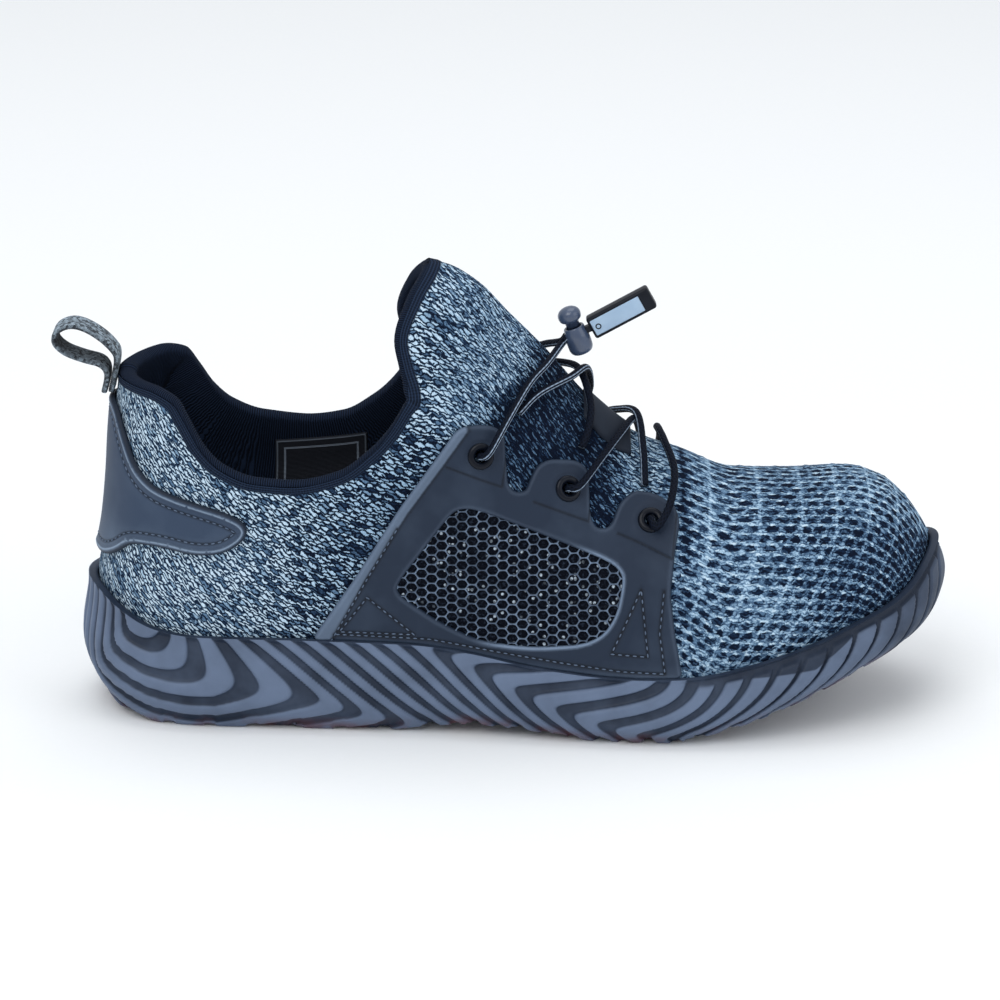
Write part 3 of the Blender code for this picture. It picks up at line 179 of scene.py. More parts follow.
def rounded(points: Array, steps: int) -> Array:
    """Smooth path through points: Catmull-Rom pieces, each divided into steps.

    Args:
        points: Points that the line passes through.
        steps: Steps between two.

    Returns:
        Points of the smooth line.
    """
    points = np.asarray(points, float)
    padded = np.vstack([2 * points[0] - points[1], points, 2 * points[-1] - points[-2]])
    t = np.linspace(0, 1, steps, endpoint=False)[None, :, None]
    a, b, c, d = (padded[k : len(padded) - 3 + k, None] for k in range(4))
    curve = 2 * b + (c - a) * t + (2 * a - 5 * b + 4 * c - d) * t**2
    curve = curve + (3 * b - a - 3 * c + d) * t**3
    return np.vstack([0.5 * curve.reshape(-1, points.shape[1]), points[-1:]])


def evenly(path: Array, step: float) -> Array:
    """A path divided into equal steps of about the given length.

    Args:
        path: Points of the path.
        step: Spacing aimed at in metres.

    Returns:
        The evenly spaced points.
    """
    run = run_length(path)
    at = np.linspace(0, run[-1], max(2, round(run[-1] / step) + 1))
    return np.stack([np.interp(at, run, path[:, k]) for k in range(path.shape[1])], -1)


def inside_loop(loop: Array, points: Array) -> Array:
    """Which points lie inside a closed outline, by counting the edges to their right.

    Args:
        loop: Points of the closed outline.
        points: Points to test.

    Returns:
        True for the points inside.
    """
    a, b = loop[:, None], np.roll(loop, -1, 0)[:, None]
    spans = (a[..., 1] > points[:, 1]) != (b[..., 1] > points[:, 1])
    rise = np.where(b[..., 1] == a[..., 1], 1.0, b[..., 1] - a[..., 1])
    cross = a[..., 0] + (b[..., 0] - a[..., 0]) * (points[:, 1] - a[..., 1]) / rise
    return (spans & (points[:, 0] < cross)).sum(0) % 2 == 1


def nearest_on(line: Array, points: Array) -> tuple[Array, Array]:
    """Distance from points to a line of straight pieces, and how far along it that place is.

    Args:
        line: Points of the line.
        points: Points to measure.

    Returns:
        The distances, and how far along the line.
    """
    best, walked = np.full(len(points), np.inf), np.zeros(len(points))
    for a, b, start in zip(line[:-1], line[1:], run_length(line)):
        edge = b - a
        t = np.clip(((points - a) @ edge) / max(edge @ edge, 1e-14), 0, 1)
        distance = np.linalg.norm(points - a - t[:, None] * edge, axis=1)
        nearer = distance < best
        best = np.where(nearer, distance, best)
        walked = np.where(nearer, start + t * np.linalg.norm(edge), walked)
    return best, walked


def line_distance(line: Array, points: Array, closed: bool = False) -> Array:
    """Distance from points to a line of straight pieces."""
    return nearest_on(np.vstack([line, line[:1]]) if closed else line, points)[0]


def bell(distance: Array, wide: float) -> Array:
    """1 at no distance, falling off both ways: e to the power of -(distance / wide)^2."""
    return np.exp(-((distance / wide) ** 2))


def beside(path: Array, closed: bool = False) -> Array:
    """Unit directions square to a flat path; inwards on a loop that starts along the outer side."""
    slope = np.roll(path, -1, 0) - np.roll(path, 1, 0) if closed else np.gradient(path, axis=0)
    return unit(np.stack([-slope[:, 1], slope[:, 0]], 1))


def crowded(low: float, high: float, count: int) -> Array:
    """Places from low to high that lie closer together at both ends, in cosine steps."""
    return low + (high - low) * (1 - np.cos(math.pi * np.linspace(0, 1, count))) / 2


def turns(count: int) -> Array:
    """Angles in equal steps once round."""
    return np.arange(count) * 2 * math.pi / count


def grid_quads(rows: int, columns: int, closed: bool = False) -> Array:
    """Quads of a grid whose points are stored row after row; closed joins the rows' ends.

    Args:
        rows: Number of rows.
        columns: Number of points in a row.
        closed: Whether the rows' ends are joined.

    Returns:
        Point numbers of each quad.
    """
    r, c = np.meshgrid(np.arange(rows - 1), np.arange(columns - (not closed)), indexing="ij")
    a, n = r * columns + c, r * columns + (c + 1) % columns
    return np.stack([a, n, n + columns, a + columns], -1).reshape(-1, 4)


def grid_normals(points: Array, centre: Array) -> Array:
    """Directions square to a grid of points, from its differences, turned away from a centre.

    Args:
        points: Grid of points.
        centre: Point they turn away from.

    Returns:
        Unit directions.
    """
    down, across = np.gradient(points, axis=0), np.gradient(points, axis=1)
    square = unit(np.cross(across, down))
    return square * np.sign(np.mean(np.sum(square * (points - centre), -1)))


@dataclass
class Surface:
    """Points and faces of one piece, with what its finish reads.

    Attributes:
        points: Corners.
        faces: Lists of faces, each an array of corners per face.
        flat: Own flat coordinates in metres for each point, if it has any.
        marks: Named numbers for each point.
    """

    points: Array
    faces: list[Array]
    flat: Optional[Array] = None
    marks: dict[str, Array] = field(default_factory=dict)

    def make(self, name: str, weld: float = 0.0, outward: bool = False) -> Piece:
        """Turns the surface into an object.

        Args:
            name: Name of the piece.
            weld: Distance under which neighbouring points are merged, or 0.
            outward: Whether the faces are turned outwards afterwards.

        Returns:
            The new object.
        """
        mesh = bpy.data.meshes.new(name)
        sizes = np.concatenate([np.full(len(f), f.shape[1]) for f in self.faces])
        corners = np.concatenate([f.reshape(-1) for f in self.faces]).astype(np.int32)
        mesh.vertices.add(len(self.points))
        mesh.vertices.foreach_set("co", np.asarray(self.points, np.float32).reshape(-1))
        mesh.loops.add(len(corners))
        mesh.loops.foreach_set("vertex_index", corners)
        mesh.polygons.add(len(sizes))
        starts = np.concatenate([[0], np.cumsum(sizes)[:-1]]).astype(np.int32)
        mesh.polygons.foreach_set("loop_start", starts)
        mesh.update(calc_edges=True)
        if self.flat is not None:
            layer = mesh.uv_layers.new(name="flat")
            layer.data.foreach_set("uv", self.flat[corners].astype(np.float32).reshape(-1))
        for mark, values in self.marks.items():
            stored = mesh.attributes.new(mark, "FLOAT", "POINT")
            stored.data.foreach_set("value", np.asarray(values, np.float32).reshape(-1))
        if weld or outward:
            work = bmesh.new()
            work.from_mesh(mesh)
            if weld:
                bmesh.ops.remove_doubles(work, verts=work.verts, dist=weld)
                bmesh.ops.dissolve_degenerate(work, edges=work.edges, dist=weld / 4)
            if outward:
                bmesh.ops.recalc_face_normals(work, faces=work.faces)
            work.to_mesh(mesh)
            work.free()
        mesh.validate()
        mesh.shade_smooth()
        piece = bpy.data.objects.new(name, mesh)
        bpy.context.scene.collection.objects.link(piece)
        return piece


def gridded(
    points: Array,
    flat: Optional[Array] = None,
    marks: Optional[dict[str, Array]] = None,
    closed: bool = False,
) -> Surface:
    """The surface of a grid of points, with flat coordinates and marks on the same grid."""
    return Surface(
        points.reshape(-1, 3),
        [grid_quads(*points.shape[:2], closed)],
        None if flat is None else flat.reshape(-1, 2),
        {name: values.reshape(-1) for name, values in (marks or {}).items()},
    )


def joined_surfaces(parts: Sequence[Surface]) -> Surface:
    """Several surfaces as one; they all have the same marks, and flat coordinates or none.

    Args:
        parts: The surfaces.

    Returns:
        The joined surface.
    """
    starts = np.concatenate([[0], np.cumsum([len(p.points) for p in parts])])
    faces = [f + s for p, s in zip(parts, starts) for f in p.faces]
    flat = None if parts[0].flat is None else np.vstack([p.flat for p in parts])
    marks = {k: np.concatenate([np.ravel(p.marks[k]) for p in parts]) for k in parts[0].marks}
    return Surface(np.vstack([p.points for p in parts]), faces, flat, marks)


def swept(path: Array, profile: Array, first: Sequence[float] = (0, 1, 0)) -> Surface:
    """A closed profile carried along a path.

    Formula: each ring is the path's point plus the profile's two coordinates along a side vector,
    kept square to the path, and its cross product with the heading. The flat coordinates are the
    share round the profile times its length, and the distance along the path.

    Args:
        path: Points of the path.
        profile: Closed section in metres.
        first: Direction that the side vector starts from.

    Returns:
        The tube with flat ends.
    """
    heading = unit(np.gradient(path, axis=0))
    side = np.asarray(first, float)
    sides = []
    for ahead in heading:
        side = unit(side - ahead * (side @ ahead))
        sides.append(side)
    across = np.array(sides)[:, None]
    up = np.cross(heading, across[:, 0])[:, None]
    rings = path[:, None] + profile[:, :1] * across + profile[:, 1:] * up
    count, size = len(path), len(profile)
    around = run_length(np.vstack([profile, profile[:1]]))[:-1]
    flat = np.stack(np.meshgrid(run_length(path), around, indexing="ij"), -1)[..., ::-1]
    tube = gridded(rings, flat, closed=True)
    tube.faces.append(np.vstack([np.arange(size)[::-1], (count - 1) * size + np.arange(size)]))
    return tube


def ring_profile(radius: float, count: int) -> Array:
    """A round section."""
    turn = turns(count)
    return np.stack([np.cos(turn), np.sin(turn)], 1) * radius


def turned(profile: Rows, origin: Array, axis: Array, count: int) -> Surface:
    """A profile of radii and heights turned round an axis.

    Formula: origin plus height along the axis plus radius times a direction that goes once round
    the axis in equal steps.

    Args:
        profile: Rows of radius and height in metres; the ends are closed where the radius is 0.
        origin: Point on the axis from which heights count.
        axis: Direction of the axis.
        count: Steps round the axis.

    Returns:
        The turned surface, to be welded at its poles.
    """
    axis = unit(np.asarray(axis, float))
    helper = np.array([0.0, 1.0, 0.0]) if abs(axis[1]) < 0.9 else np.array([0.0, 0.0, 1.0])
    across = unit(np.cross(axis, helper))
    up = np.cross(axis, across)
    turn = turns(count)[:, None]
    spokes = np.cos(turn) * across + np.sin(turn) * up
    radii, heights = np.asarray(profile, float).T[:, :, None, None]
    return gridded(origin + radii * spokes + heights * axis, closed=True)


@dataclass(frozen=True)
class Last:
    """Sizes and section tables of the shoe, the same as those of the solids.

    Places are in metres from the back end of the sole; heights are from the floor.
    """

    length: float = 0.3
    width: float = 0.108
    tongue: float = 0.157
    lip_height: float = 0.0338
    spring: float = 0.036
    heel_seat: float = 0.06
    edge_round: float = 0.006
    lip_inset: float = 0.0026
    lip_wall: float = 0.0032
    heel_stack: float = 0.024
    ball_stack: float = 0.015
    gap: float = 0.0003
    collar_tilt: float = 0.0032
    pad: float = 0.006
    pad_depth: float = 0.022
    wall: float = 0.0026
    tongue_foot: float = 0.38

    outline_rows = (
        (0.0, 0.0), (0.016, -0.155), (0.058, -0.275), (0.13, -0.338), (0.25, -0.36),
        (0.4, -0.392), (0.52, -0.44), (0.64, -0.482), (0.74, -0.478), (0.83, -0.428),
        (0.9, -0.352), (0.95, -0.255), (0.985, -0.12), (1.0, 0.04), (0.987, 0.195),
        (0.95, 0.325), (0.895, 0.422), (0.82, 0.486), (0.73, 0.5), (0.63, 0.46),
        (0.53, 0.392), (0.42, 0.338), (0.3, 0.325), (0.2, 0.338), (0.13, 0.332),
        (0.058, 0.272), (0.016, 0.155),
    )
    # along, rise of the tread
    tread_rows = (
        (0.0, 0.23), (0.012, 0.15), (0.03, 0.075), (0.055, 0.025), (0.085, 0.0),
        (0.34, 0.0), (0.4, 0.055), (0.45, 0.095), (0.51, 0.07), (0.56, 0.02),
        (0.59, 0.0), (0.68, 0.0), (0.715, 0.06), (0.755, 0.14), (0.8, 0.26),
        (0.85, 0.415), (0.9, 0.58), (0.95, 0.72), (0.983, 0.83), (1.0, 1.0),
    )
    # along, height of the sole's lip
    lip_rows = (
        (0.0, 1.37), (0.013, 1.34), (0.04, 1.22), (0.09, 1.045), (0.135, 0.995),
        (0.27, 0.985), (0.385, 0.97), (0.45, 0.905), (0.525, 0.785), (0.6, 0.722),
        (0.645, 0.71), (0.7, 0.725), (0.765, 0.825), (0.84, 1.0), (0.9, 1.19),
        (0.937, 1.3), (0.967, 1.44), (0.987, 1.6), (1.0, 1.69),
    )
    # along, share of the way from the ball's stack to the heel's
    bed_rows = ((0.0, 1.0), (0.3, 1.0), (0.45, 0.6), (0.62, 0.0), (1.0, 0.0))
    # along, top, ridge, power of the wall, power of the crown
    section_rows = (
        (0.0, 1.08, 0.0, 3.0, 2.0), (0.3, 1.06, 0.0, 3.0, 2.0),
        (0.38, 1.012, 0.0, 3.0, 2.0), (0.402, 1.0, 0.0, 2.9, 2.0),
        (0.425, 0.99, 0.004, 2.6, 1.9), (0.46, 0.95, 0.008, 2.2, 1.75),
        (0.493, 0.884, 0.012, 1.9, 1.6), (0.533, 0.805, 0.018, 1.75, 1.5),
        (0.587, 0.685, 0.028, 1.7, 1.5), (0.643, 0.598, 0.036, 1.8, 1.6),
        (0.69, 0.56, 0.042, 2.0, 1.8), (0.753, 0.508, 0.048, 2.2, 2.0),
        (0.817, 0.501, 0.05, 2.4, 2.2), (0.887, 0.509, 0.046, 2.4, 2.3),
        (0.923, 0.492, 0.042, 2.3, 2.3), (0.952, 0.448, 0.04, 2.2, 2.3),
        (0.97, 0.402, 0.04, 2.2, 2.2), (0.978, 0.376, 0.04, 2.2, 2.2),
    )
    # height, along of the heel's back
    heel_rows = (
        (0.0, 0.0208), (0.3, 0.0208), (0.35, 0.025), (0.42, 0.0325), (0.53, 0.0395),
        (0.615, 0.043), (0.685, 0.047), (0.77, 0.054), (0.82, 0.062),
    )
    # along, height of the collar's edge
    collar_rows = (
        (0.0, 0.764), (0.06, 0.768), (0.095, 0.752), (0.115, 0.708), (0.135, 0.656),
        (0.16, 0.616), (0.2, 0.588), (0.25, 0.581), (0.3, 0.597), (0.34, 0.645),
        (0.362, 0.69), (0.38, 0.745),
    )
    # height, along of the tongue's edge
    tongue_rows = (
        (0.0, 0.38), (0.745, 0.38), (0.81, 0.372), (0.863, 0.367), (0.95, 0.382),
        (1.0, 0.4),
    )

    def __post_init__(self) -> None:
        """Works out the curves and the two halves of the edges."""
        size, tall = self.length, self.tongue
        top, ridge, side, crown = table_curves(self.section_rows, size, [tall, self.width, 1, 1])
        loop = self.closed_outline()
        upper = loop + beside(loop, True) * (self.lip_inset + self.lip_wall + self.gap)
        worked_out = {
            "tread": table_curves(self.tread_rows, size, [self.spring])[0],
            "lip": table_curves(self.lip_rows, size, [self.lip_height])[0],
            "bed_share": table_curves(self.bed_rows, size, [1.0])[0],
            "top": top,
            "ridge": ridge,
            "side_power": side,
            "crown_power": crown,
            "heel_back": table_curves(self.heel_rows, tall, [size])[0],
            "collar": table_curves(self.collar_rows, size, [tall])[0],
            "tongue_edge": table_curves(self.tongue_rows, tall, [size])[0],
            "sole_loop": loop,
            "upper_loop": upper,
            "upper_halves": self.halves(upper),
            "upper_runs": tuple(run_length(h) for h in self.halves(upper)),
        }
        for name, value in worked_out.items():
            object.__setattr__(self, name, value)

    def closed_outline(self) -> Array:
        """The sole's outline: cubic pieces through its knots, with slopes from their neighbours.

        Returns:
            Points of the outline.
        """
        points = np.asarray(self.outline_rows) * (self.length, self.width)
        ahead, behind = np.roll(points, -1, 0), np.roll(points, 1, 0)
        slope = (ahead - behind) / 2
        t = np.linspace(0, 1, 24, endpoint=False)[None, :, None]
        curve = points[:, None] * (1 + 2 * t) * (1 - t) ** 2 + ahead[:, None] * t**2 * (3 - 2 * t)
        curve = curve + slope[:, None] * t * (1 - t) ** 2
        curve = curve - np.roll(slope, -1, 0)[:, None] * t**2 * (1 - t)
        return curve.reshape(-1, 2)

    @staticmethod
    def halves(loop: Array) -> tuple[Array, Array]:
        """Outer and inner half of a loop, each from its heel end to its toe end.

        Args:
            loop: Points of the closed outline.

        Returns:
            The outer and the inner half.
        """
        heel, toe = loop[:, 0].argmin(), loop[:, 0].argmax()
        from_heel = np.roll(loop, -heel, 0)
        cut = (toe - heel) % len(loop)
        return from_heel[: cut + 1], np.vstack([from_heel[cut:], from_heel[:1]])[::-1]

    def world(self, points: Array) -> Array:
        """Points moved from the sole's back end to the model's origin."""
        return np.asarray(points, float) - (self.heel_seat, 0.0, 0.0)

    def bed(self, along: Array) -> Array:
        """Height of the floor in the sole's cup."""
        stack = self.ball_stack + (self.heel_stack - self.ball_stack) * self.bed_share(along)
        return self.tread(along) + stack

    def collar_height(self, along: Array, side: Array) -> Array:
        """Height of the collar's edge, lower on the outer side of the foot."""
        middle = np.clip(np.asarray(along) / (self.tongue_foot * self.length), 0, 1)
        return self.collar(along) + self.collar_tilt * np.asarray(side) * np.sin(middle * math.pi)

    def wall_point(self, along: Array, height: Array, side: Array) -> Array:
        """Point of the upper's skin at a station, a height and a side.

        Formula: from the ridge to the edge by (1 - s^p)^(1/q), where s is the share of the height
        from the sole's lip to the crown; behind the heel turn, stations draw in with height.

        Args:
            along: Stations from the sole's back end in metres.
            height: Heights in metres.
            side: Below zero on the outer side, else the inner side.

        Returns:
            Points counted from the sole's back end.
        """
        along, height, side = np.broadcast_arrays(along, height, np.asarray(side, float))
        low, high = self.lip(along), self.top(along)
        share = np.clip((height - low) / (high - low), 0, 1)
        outer, inner = (np.interp(along, *h.T) for h in self.upper_halves)
        edge = np.where(side < 0, outer, inner)
        turn = 0.33 * self.length
        ridge = self.ridge(along) * np.clip((along - turn) / turn, 0, 1)
        ridge = np.clip(ridge, outer, inner)
        full = (1 - share ** self.side_power(along)) ** (1 / self.crown_power(along))
        across = ridge + (edge - ridge) * full
        squeeze = (turn - self.heel_back(height)) / (turn - self.upper_loop[:, 0].min())
        forward = np.where(along < turn, turn - (turn - along) * squeeze, along)
        return np.stack([forward, across, height], -1)

    def skin(self, reach: Array, height: Array) -> Array:
        """Skin at a signed distance round the edge from the heel: outer side below zero.

        Args:
            reach: Distances round the edge from the heel, below zero on the outer side.
            height: Heights in metres.

        Returns:
            Points counted from the sole's back end.
        """
        reach, height = np.broadcast_arrays(np.asarray(reach, float), np.asarray(height, float))
        stations = [
            np.interp(np.abs(reach), run, half[:, 0])
            for run, half in zip(self.upper_runs, self.upper_halves)
        ]
        side = np.where(reach < 0, -1.0, 1.0)
        return self.wall_point(np.where(reach < 0, *stations), height, side)

    def off_skin(self, reach: Array, height: Array, lift: Array) -> tuple:
        """Points lifted off the skin, in the model's place, and the outward directions there.

        Args:
            reach: Distances round the edge from the heel, below zero on the outer side.
            height: Heights in metres.
            lift: Heights over the skin in metres.

        Returns:
            The points and the outward directions.
        """
        step = 0.8 * MM
        by_reach = self.skin(reach + step, height) - self.skin(reach - step, height)
        by_height = self.skin(reach, height + step) - self.skin(reach, height - step)
        outward = unit(np.cross(by_height, by_reach))
        base = self.world(self.skin(reach, height))
        return base + outward * np.asarray(lift, float)[..., None], outward

    def over_foot(self, along: Array, over: Array, lift: Array) -> tuple:
        """Points lifted off the skin on a walk over the foot, and the outward directions.

        Formula: over runs from -1 on the outer side over the crown at 0 to 1 on the inner side,
        and stands for a share of the height of 1 - 0.5 |over|^1.6.

        Args:
            along: Stations from the sole's back end in metres.
            over: Places across the foot, from -1 to 1.
            lift: Heights over the skin in metres.

        Returns:
            The points and the outward directions.
        """

        def place(x: Array, o: Array) -> Array:
            """Points of the skin at stations x and places o across the foot."""
            share = 1 - 0.5 * np.abs(o) ** 1.6
            height = self.lip(x) + (self.top(x) - self.lip(x)) * share
            return self.wall_point(x, height, np.where(o < 0, -1.0, 1.0))

        along, over = np.broadcast_arrays(np.asarray(along, float), np.asarray(over, float))
        ahead = place(along + MM, over) - place(along - MM, over)
        across = place(along, over + 0.02) - place(along, over - 0.02)
        outward = unit(np.cross(ahead, across))
        lifted = self.world(place(along, over)) + outward * np.asarray(lift, float)[..., None]
        return lifted, outward

    def on_lip(self, rows: Rows, flank: Flank) -> Array:
        """A table of reach and height shares in metres, on one side; height 0 means the lip.

        Args:
            rows: Reaches and heights in shares.
            flank: Side of the shoe.

        Returns:
            Rows of signed reach and height in metres.
        """
        data = np.array(rows, float) * (self.length, self.tongue)
        half, run = self.upper_halves[flank.half], self.upper_runs[flank.half]
        along = np.interp(data[:, 0], run, half[:, 0])
        data[:, 1] = np.maximum(data[:, 1], self.lip(along) - self.gap)
        data[:, 0] *= flank.value
        return data


LAST = Last()


def tone(red: int, green: int, blue: int) -> Colour:
    """A colour given in screen values from 0 to 255, made linear.

    Args:
        red: Red.
        green: Green.
        blue: Blue.

    Returns:
        The linear colour.
    """
    parts = []
    for value in (red, green, blue):
        c = value / 255
        parts.append(c / 12.92 if c <= 0.04045 else ((c + 0.055) / 1.055) ** 2.4)
    return tuple(parts)


class Signal:
    """A number in a shader; arithmetic on it adds Math nodes."""

    def __init__(self, graph: "Graph", socket: bpy.types.NodeSocket) -> None:
        """Keeps the graph and the socket that carries the number."""
        self.graph = graph
        self.socket = socket

    def _math(self, operation: str, *others: Union["Signal", float]) -> "Signal":
        """One Math node on this number and others."""
        node = self.graph.node(
            "ShaderNodeMath", {"operation": operation}, dict(enumerate((self, *others)))
        )
        return Signal(self.graph, node.outputs[0])

    def __add__(self, other: Union["Signal", float]) -> "Signal":
        """Sum."""
        return self._math("ADD", other)

    __radd__ = __add__

    def __sub__(self, other: Union["Signal", float]) -> "Signal":
        """Difference."""
        return self._math("SUBTRACT", other)

    def __rsub__(self, other: float) -> "Signal":
        """Difference from a plain number."""
        return self._math("MULTIPLY", -1.0)._math("ADD", other)

    def __mul__(self, other: Union["Signal", float]) -> "Signal":
        """Product."""
        return self._math("MULTIPLY", other)

    __rmul__ = __mul__

    def __truediv__(self, other: float) -> "Signal":
        """Quotient by a plain number."""
        return self._math("MULTIPLY", 1.0 / other)

    def wave(self) -> "Signal":
        """Sine of the number taken as turns."""
        return self._math("MULTIPLY", 2 * math.pi)._math("SINE")

    def part(self) -> "Signal":
        """Fractional part."""
        return self._math("FRACT")

    def whole(self) -> "Signal":
        """Whole part."""
        return self._math("FLOOR")

    def size(self) -> "Signal":
        """Absolute value."""
        return self._math("ABSOLUTE")

    def least(self, other: Union["Signal", float]) -> "Signal":
        """The smaller of two numbers."""
        return self._math("MINIMUM", other)

    def most(self, other: Union["Signal", float]) -> "Signal":
        """The larger of two numbers."""
        return self._math("MAXIMUM", other)

    def rise(self, low: float, high: float) -> "Signal":
        """0 below low, 1 above high and smooth between; low may be the larger."""
        node = self.graph.node(
            "ShaderNodeMapRange",
            {"interpolation_type": "SMOOTHSTEP"},
            {"Value": self, "From Min": low, "From Max": high},
        )
        return Signal(self.graph, node.outputs[0])


class Graph:
    """The nodes of one material."""

    def __init__(self, name: str) -> None:
        """Starts a material with only its Principled shader.

        Args:
            name: Name of the material.
        """
        self.material = bpy.data.materials.new(name)
        self.material.use_nodes = True
        self.tree = self.material.node_tree
        self.shader = self.tree.nodes["Principled BSDF"]

    def node(
        self, kind: str, settings: Optional[dict] = None, inputs: Optional[dict] = None
    ) -> bpy.types.Node:
        """Adds one node.

        Args:
            kind: Blender's name of the node's type.
            settings: Properties set first, such as a Math node's operation.
            inputs: Values or signals for its sockets, by name or number.

        Returns:
            The node.
        """
        node = self.tree.nodes.new(kind)
        for key, value in (settings or {}).items():
            setattr(node, key, value)
        for key, value in (inputs or {}).items():
            self.plug(node.inputs[key], value)
        return node

    def plug(self, socket: Socket, value: Value) -> None:
        """Links a signal to a socket, or sets a plain value on it."""
        if isinstance(value, Signal):
            self.tree.links.new(value.socket, socket)
        elif isinstance(value, Socket):
            self.tree.links.new(value, socket)
        elif isinstance(value, (tuple, list)) and len(socket.default_value) == 4:
            socket.default_value = (*value, 1.0)
        else:
            socket.default_value = value

    def flat(self) -> tuple[Signal, Signal]:
        """The piece's own flat coordinates in metres.

        Returns:
            Both coordinates.
        """
        node = self.node("ShaderNodeUVMap", {"uv_map": "flat"})
        split = self.node("ShaderNodeSeparateXYZ", inputs={0: node.outputs[0]})
        return Signal(self, split.outputs[0]), Signal(self, split.outputs[1])

    def place(self) -> tuple[Signal, Signal, Signal]:
        """The point on the object in metres.

        Returns:
            Its three coordinates.
        """
        node = self.node("ShaderNodeTexCoord")
        split = self.node("ShaderNodeSeparateXYZ", inputs={0: node.outputs["Object"]})
        return tuple(Signal(self, split.outputs[k]) for k in range(3))

    def mark(self, name: str) -> Signal:
        """A named number stored on the mesh."""
        node = self.node("ShaderNodeAttribute", {"attribute_name": name})
        return Signal(self, node.outputs["Fac"])

    def vector(self, x: Value, y: Value, z: Value = 0.0) -> Socket:
        """Three numbers as one vector."""
        return self.node("ShaderNodeCombineXYZ", inputs={0: x, 1: y, 2: z}).outputs[0]

    def noise(self, vector: Socket, scale: float, detail: float = 2.0) -> Signal:
        """Noise round 0.5; scale is per metre of the vector."""
        node = self.node(
            "ShaderNodeTexNoise",
            {"noise_dimensions": "3D"},
            {"Vector": vector, "Scale": scale, "Detail": detail, "Roughness": 0.55},
        )
        return Signal(self, node.outputs[0])

    def chance(self, vector: Socket) -> Signal:
        """A random number for each whole place of the vector."""
        node = self.node("ShaderNodeTexWhiteNoise", {"noise_dimensions": "3D"}, {"Vector": vector})
        return Signal(self, node.outputs[0])

    def spot(self, x: Signal, y: Signal, wide: float, tall: float) -> Signal:
        """1 at the middle of a soft round spot at zero, and 0 outside its two radii."""
        x, y = x / wide, y / tall
        return (x * x + y * y).rise(1.35, 0.45)

    def blend(self, share: Value, first: Value, second: Value) -> Socket:
        """A colour between two colours."""
        node = self.node("ShaderNodeMix", {"data_type": "RGBA"}, {0: share, 6: first, 7: second})
        return node.outputs[2]

    def ramp(self, share: Signal, stops: Sequence[tuple[float, Colour]]) -> Socket:
        """A colour from a ramp of places and colours.

        Args:
            share: Place on the ramp.
            stops: Places and colours.

        Returns:
            The colour.
        """
        node = self.node("ShaderNodeValToRGB", inputs={0: share})
        elements = node.color_ramp.elements
        while len(elements) < len(stops):
            elements.new(0.5)
        for element, (place, colour) in zip(elements, stops):
            element.position = place
            element.color = (*colour, 1.0)
        return node.outputs[0]

    def dress(
        self, colour: Value, roughness: Value, height: Optional[Signal] = None,
        depth: float = 0.0, **more: float,
    ) -> Material:
        """Feeds the shader.

        Args:
            colour: Base colour, plain or linked.
            roughness: Roughness, plain or linked.
            height: Relief from 0 to 1 for the bump, if any.
            depth: Depth of that relief in metres.
            more: Further sockets of the shader by name, with underscores for spaces.

        Returns:
            The material.
        """
        self.plug(self.shader.inputs["Base Color"], colour)
        self.plug(self.shader.inputs["Roughness"], roughness)
        for name, value in more.items():
            self.plug(self.shader.inputs[name.replace("_", " ")], value)
        if height is not None:
            bump = self.node("ShaderNodeBump", inputs={"Height": height, "Distance": depth})
            self.plug(self.shader.inputs["Normal"], bump.outputs[0])
        return self.material


@dataclass(frozen=True)
class MouldedRubber:
    """Matt rubber of the sole: painted highlight on the raised ribs, painted shade in the grooves
    and at the toe, darker and warmer low down.
    """

    # groove is the painted shade in the grooves, rib the painted highlight on the rib tops.
    groove: Colour = tone(34, 45, 63)
    rib: Colour = tone(100, 115, 140)
    foot: Colour = tone(92, 52, 54)

    def material(self) -> Material:
        """Builds the material; it reads the marks rib, which paints light on the rib tops and shade
        in the grooves, low, and shade, which is painted shade.

        Returns:
            The material.
        """
        g = Graph("sole_rubber_painted_rib_light")
        x, y, z = g.place()
        spot = g.vector(x, y, z)
        rib, low = g.mark("rib"), g.mark("low")
        cloud = g.noise(spot, 70.0, 3.0)
        grain = g.noise(spot, 2600.0, 1.0)
        # Painted light and shade: the rib mark pales the rib tops and leaves the grooves dark; the
        # shade mark darkens the toe.
        share = rib.rise(0.22, 0.78) * 0.8 + (cloud - 0.5) * 0.8 + 0.1 - g.mark("shade")
        colour = g.blend(share.least(1.0).most(0.0), self.groove, self.rib)
        warm = low * cloud.rise(0.4, 0.62) * 0.75
        colour = g.blend(warm, colour, self.foot)
        rough = cloud * 0.2 + 0.44
        return g.dress(colour, rough, grain + cloud * 0.5, 0.00006, Specular_IOR_Level=0.3)


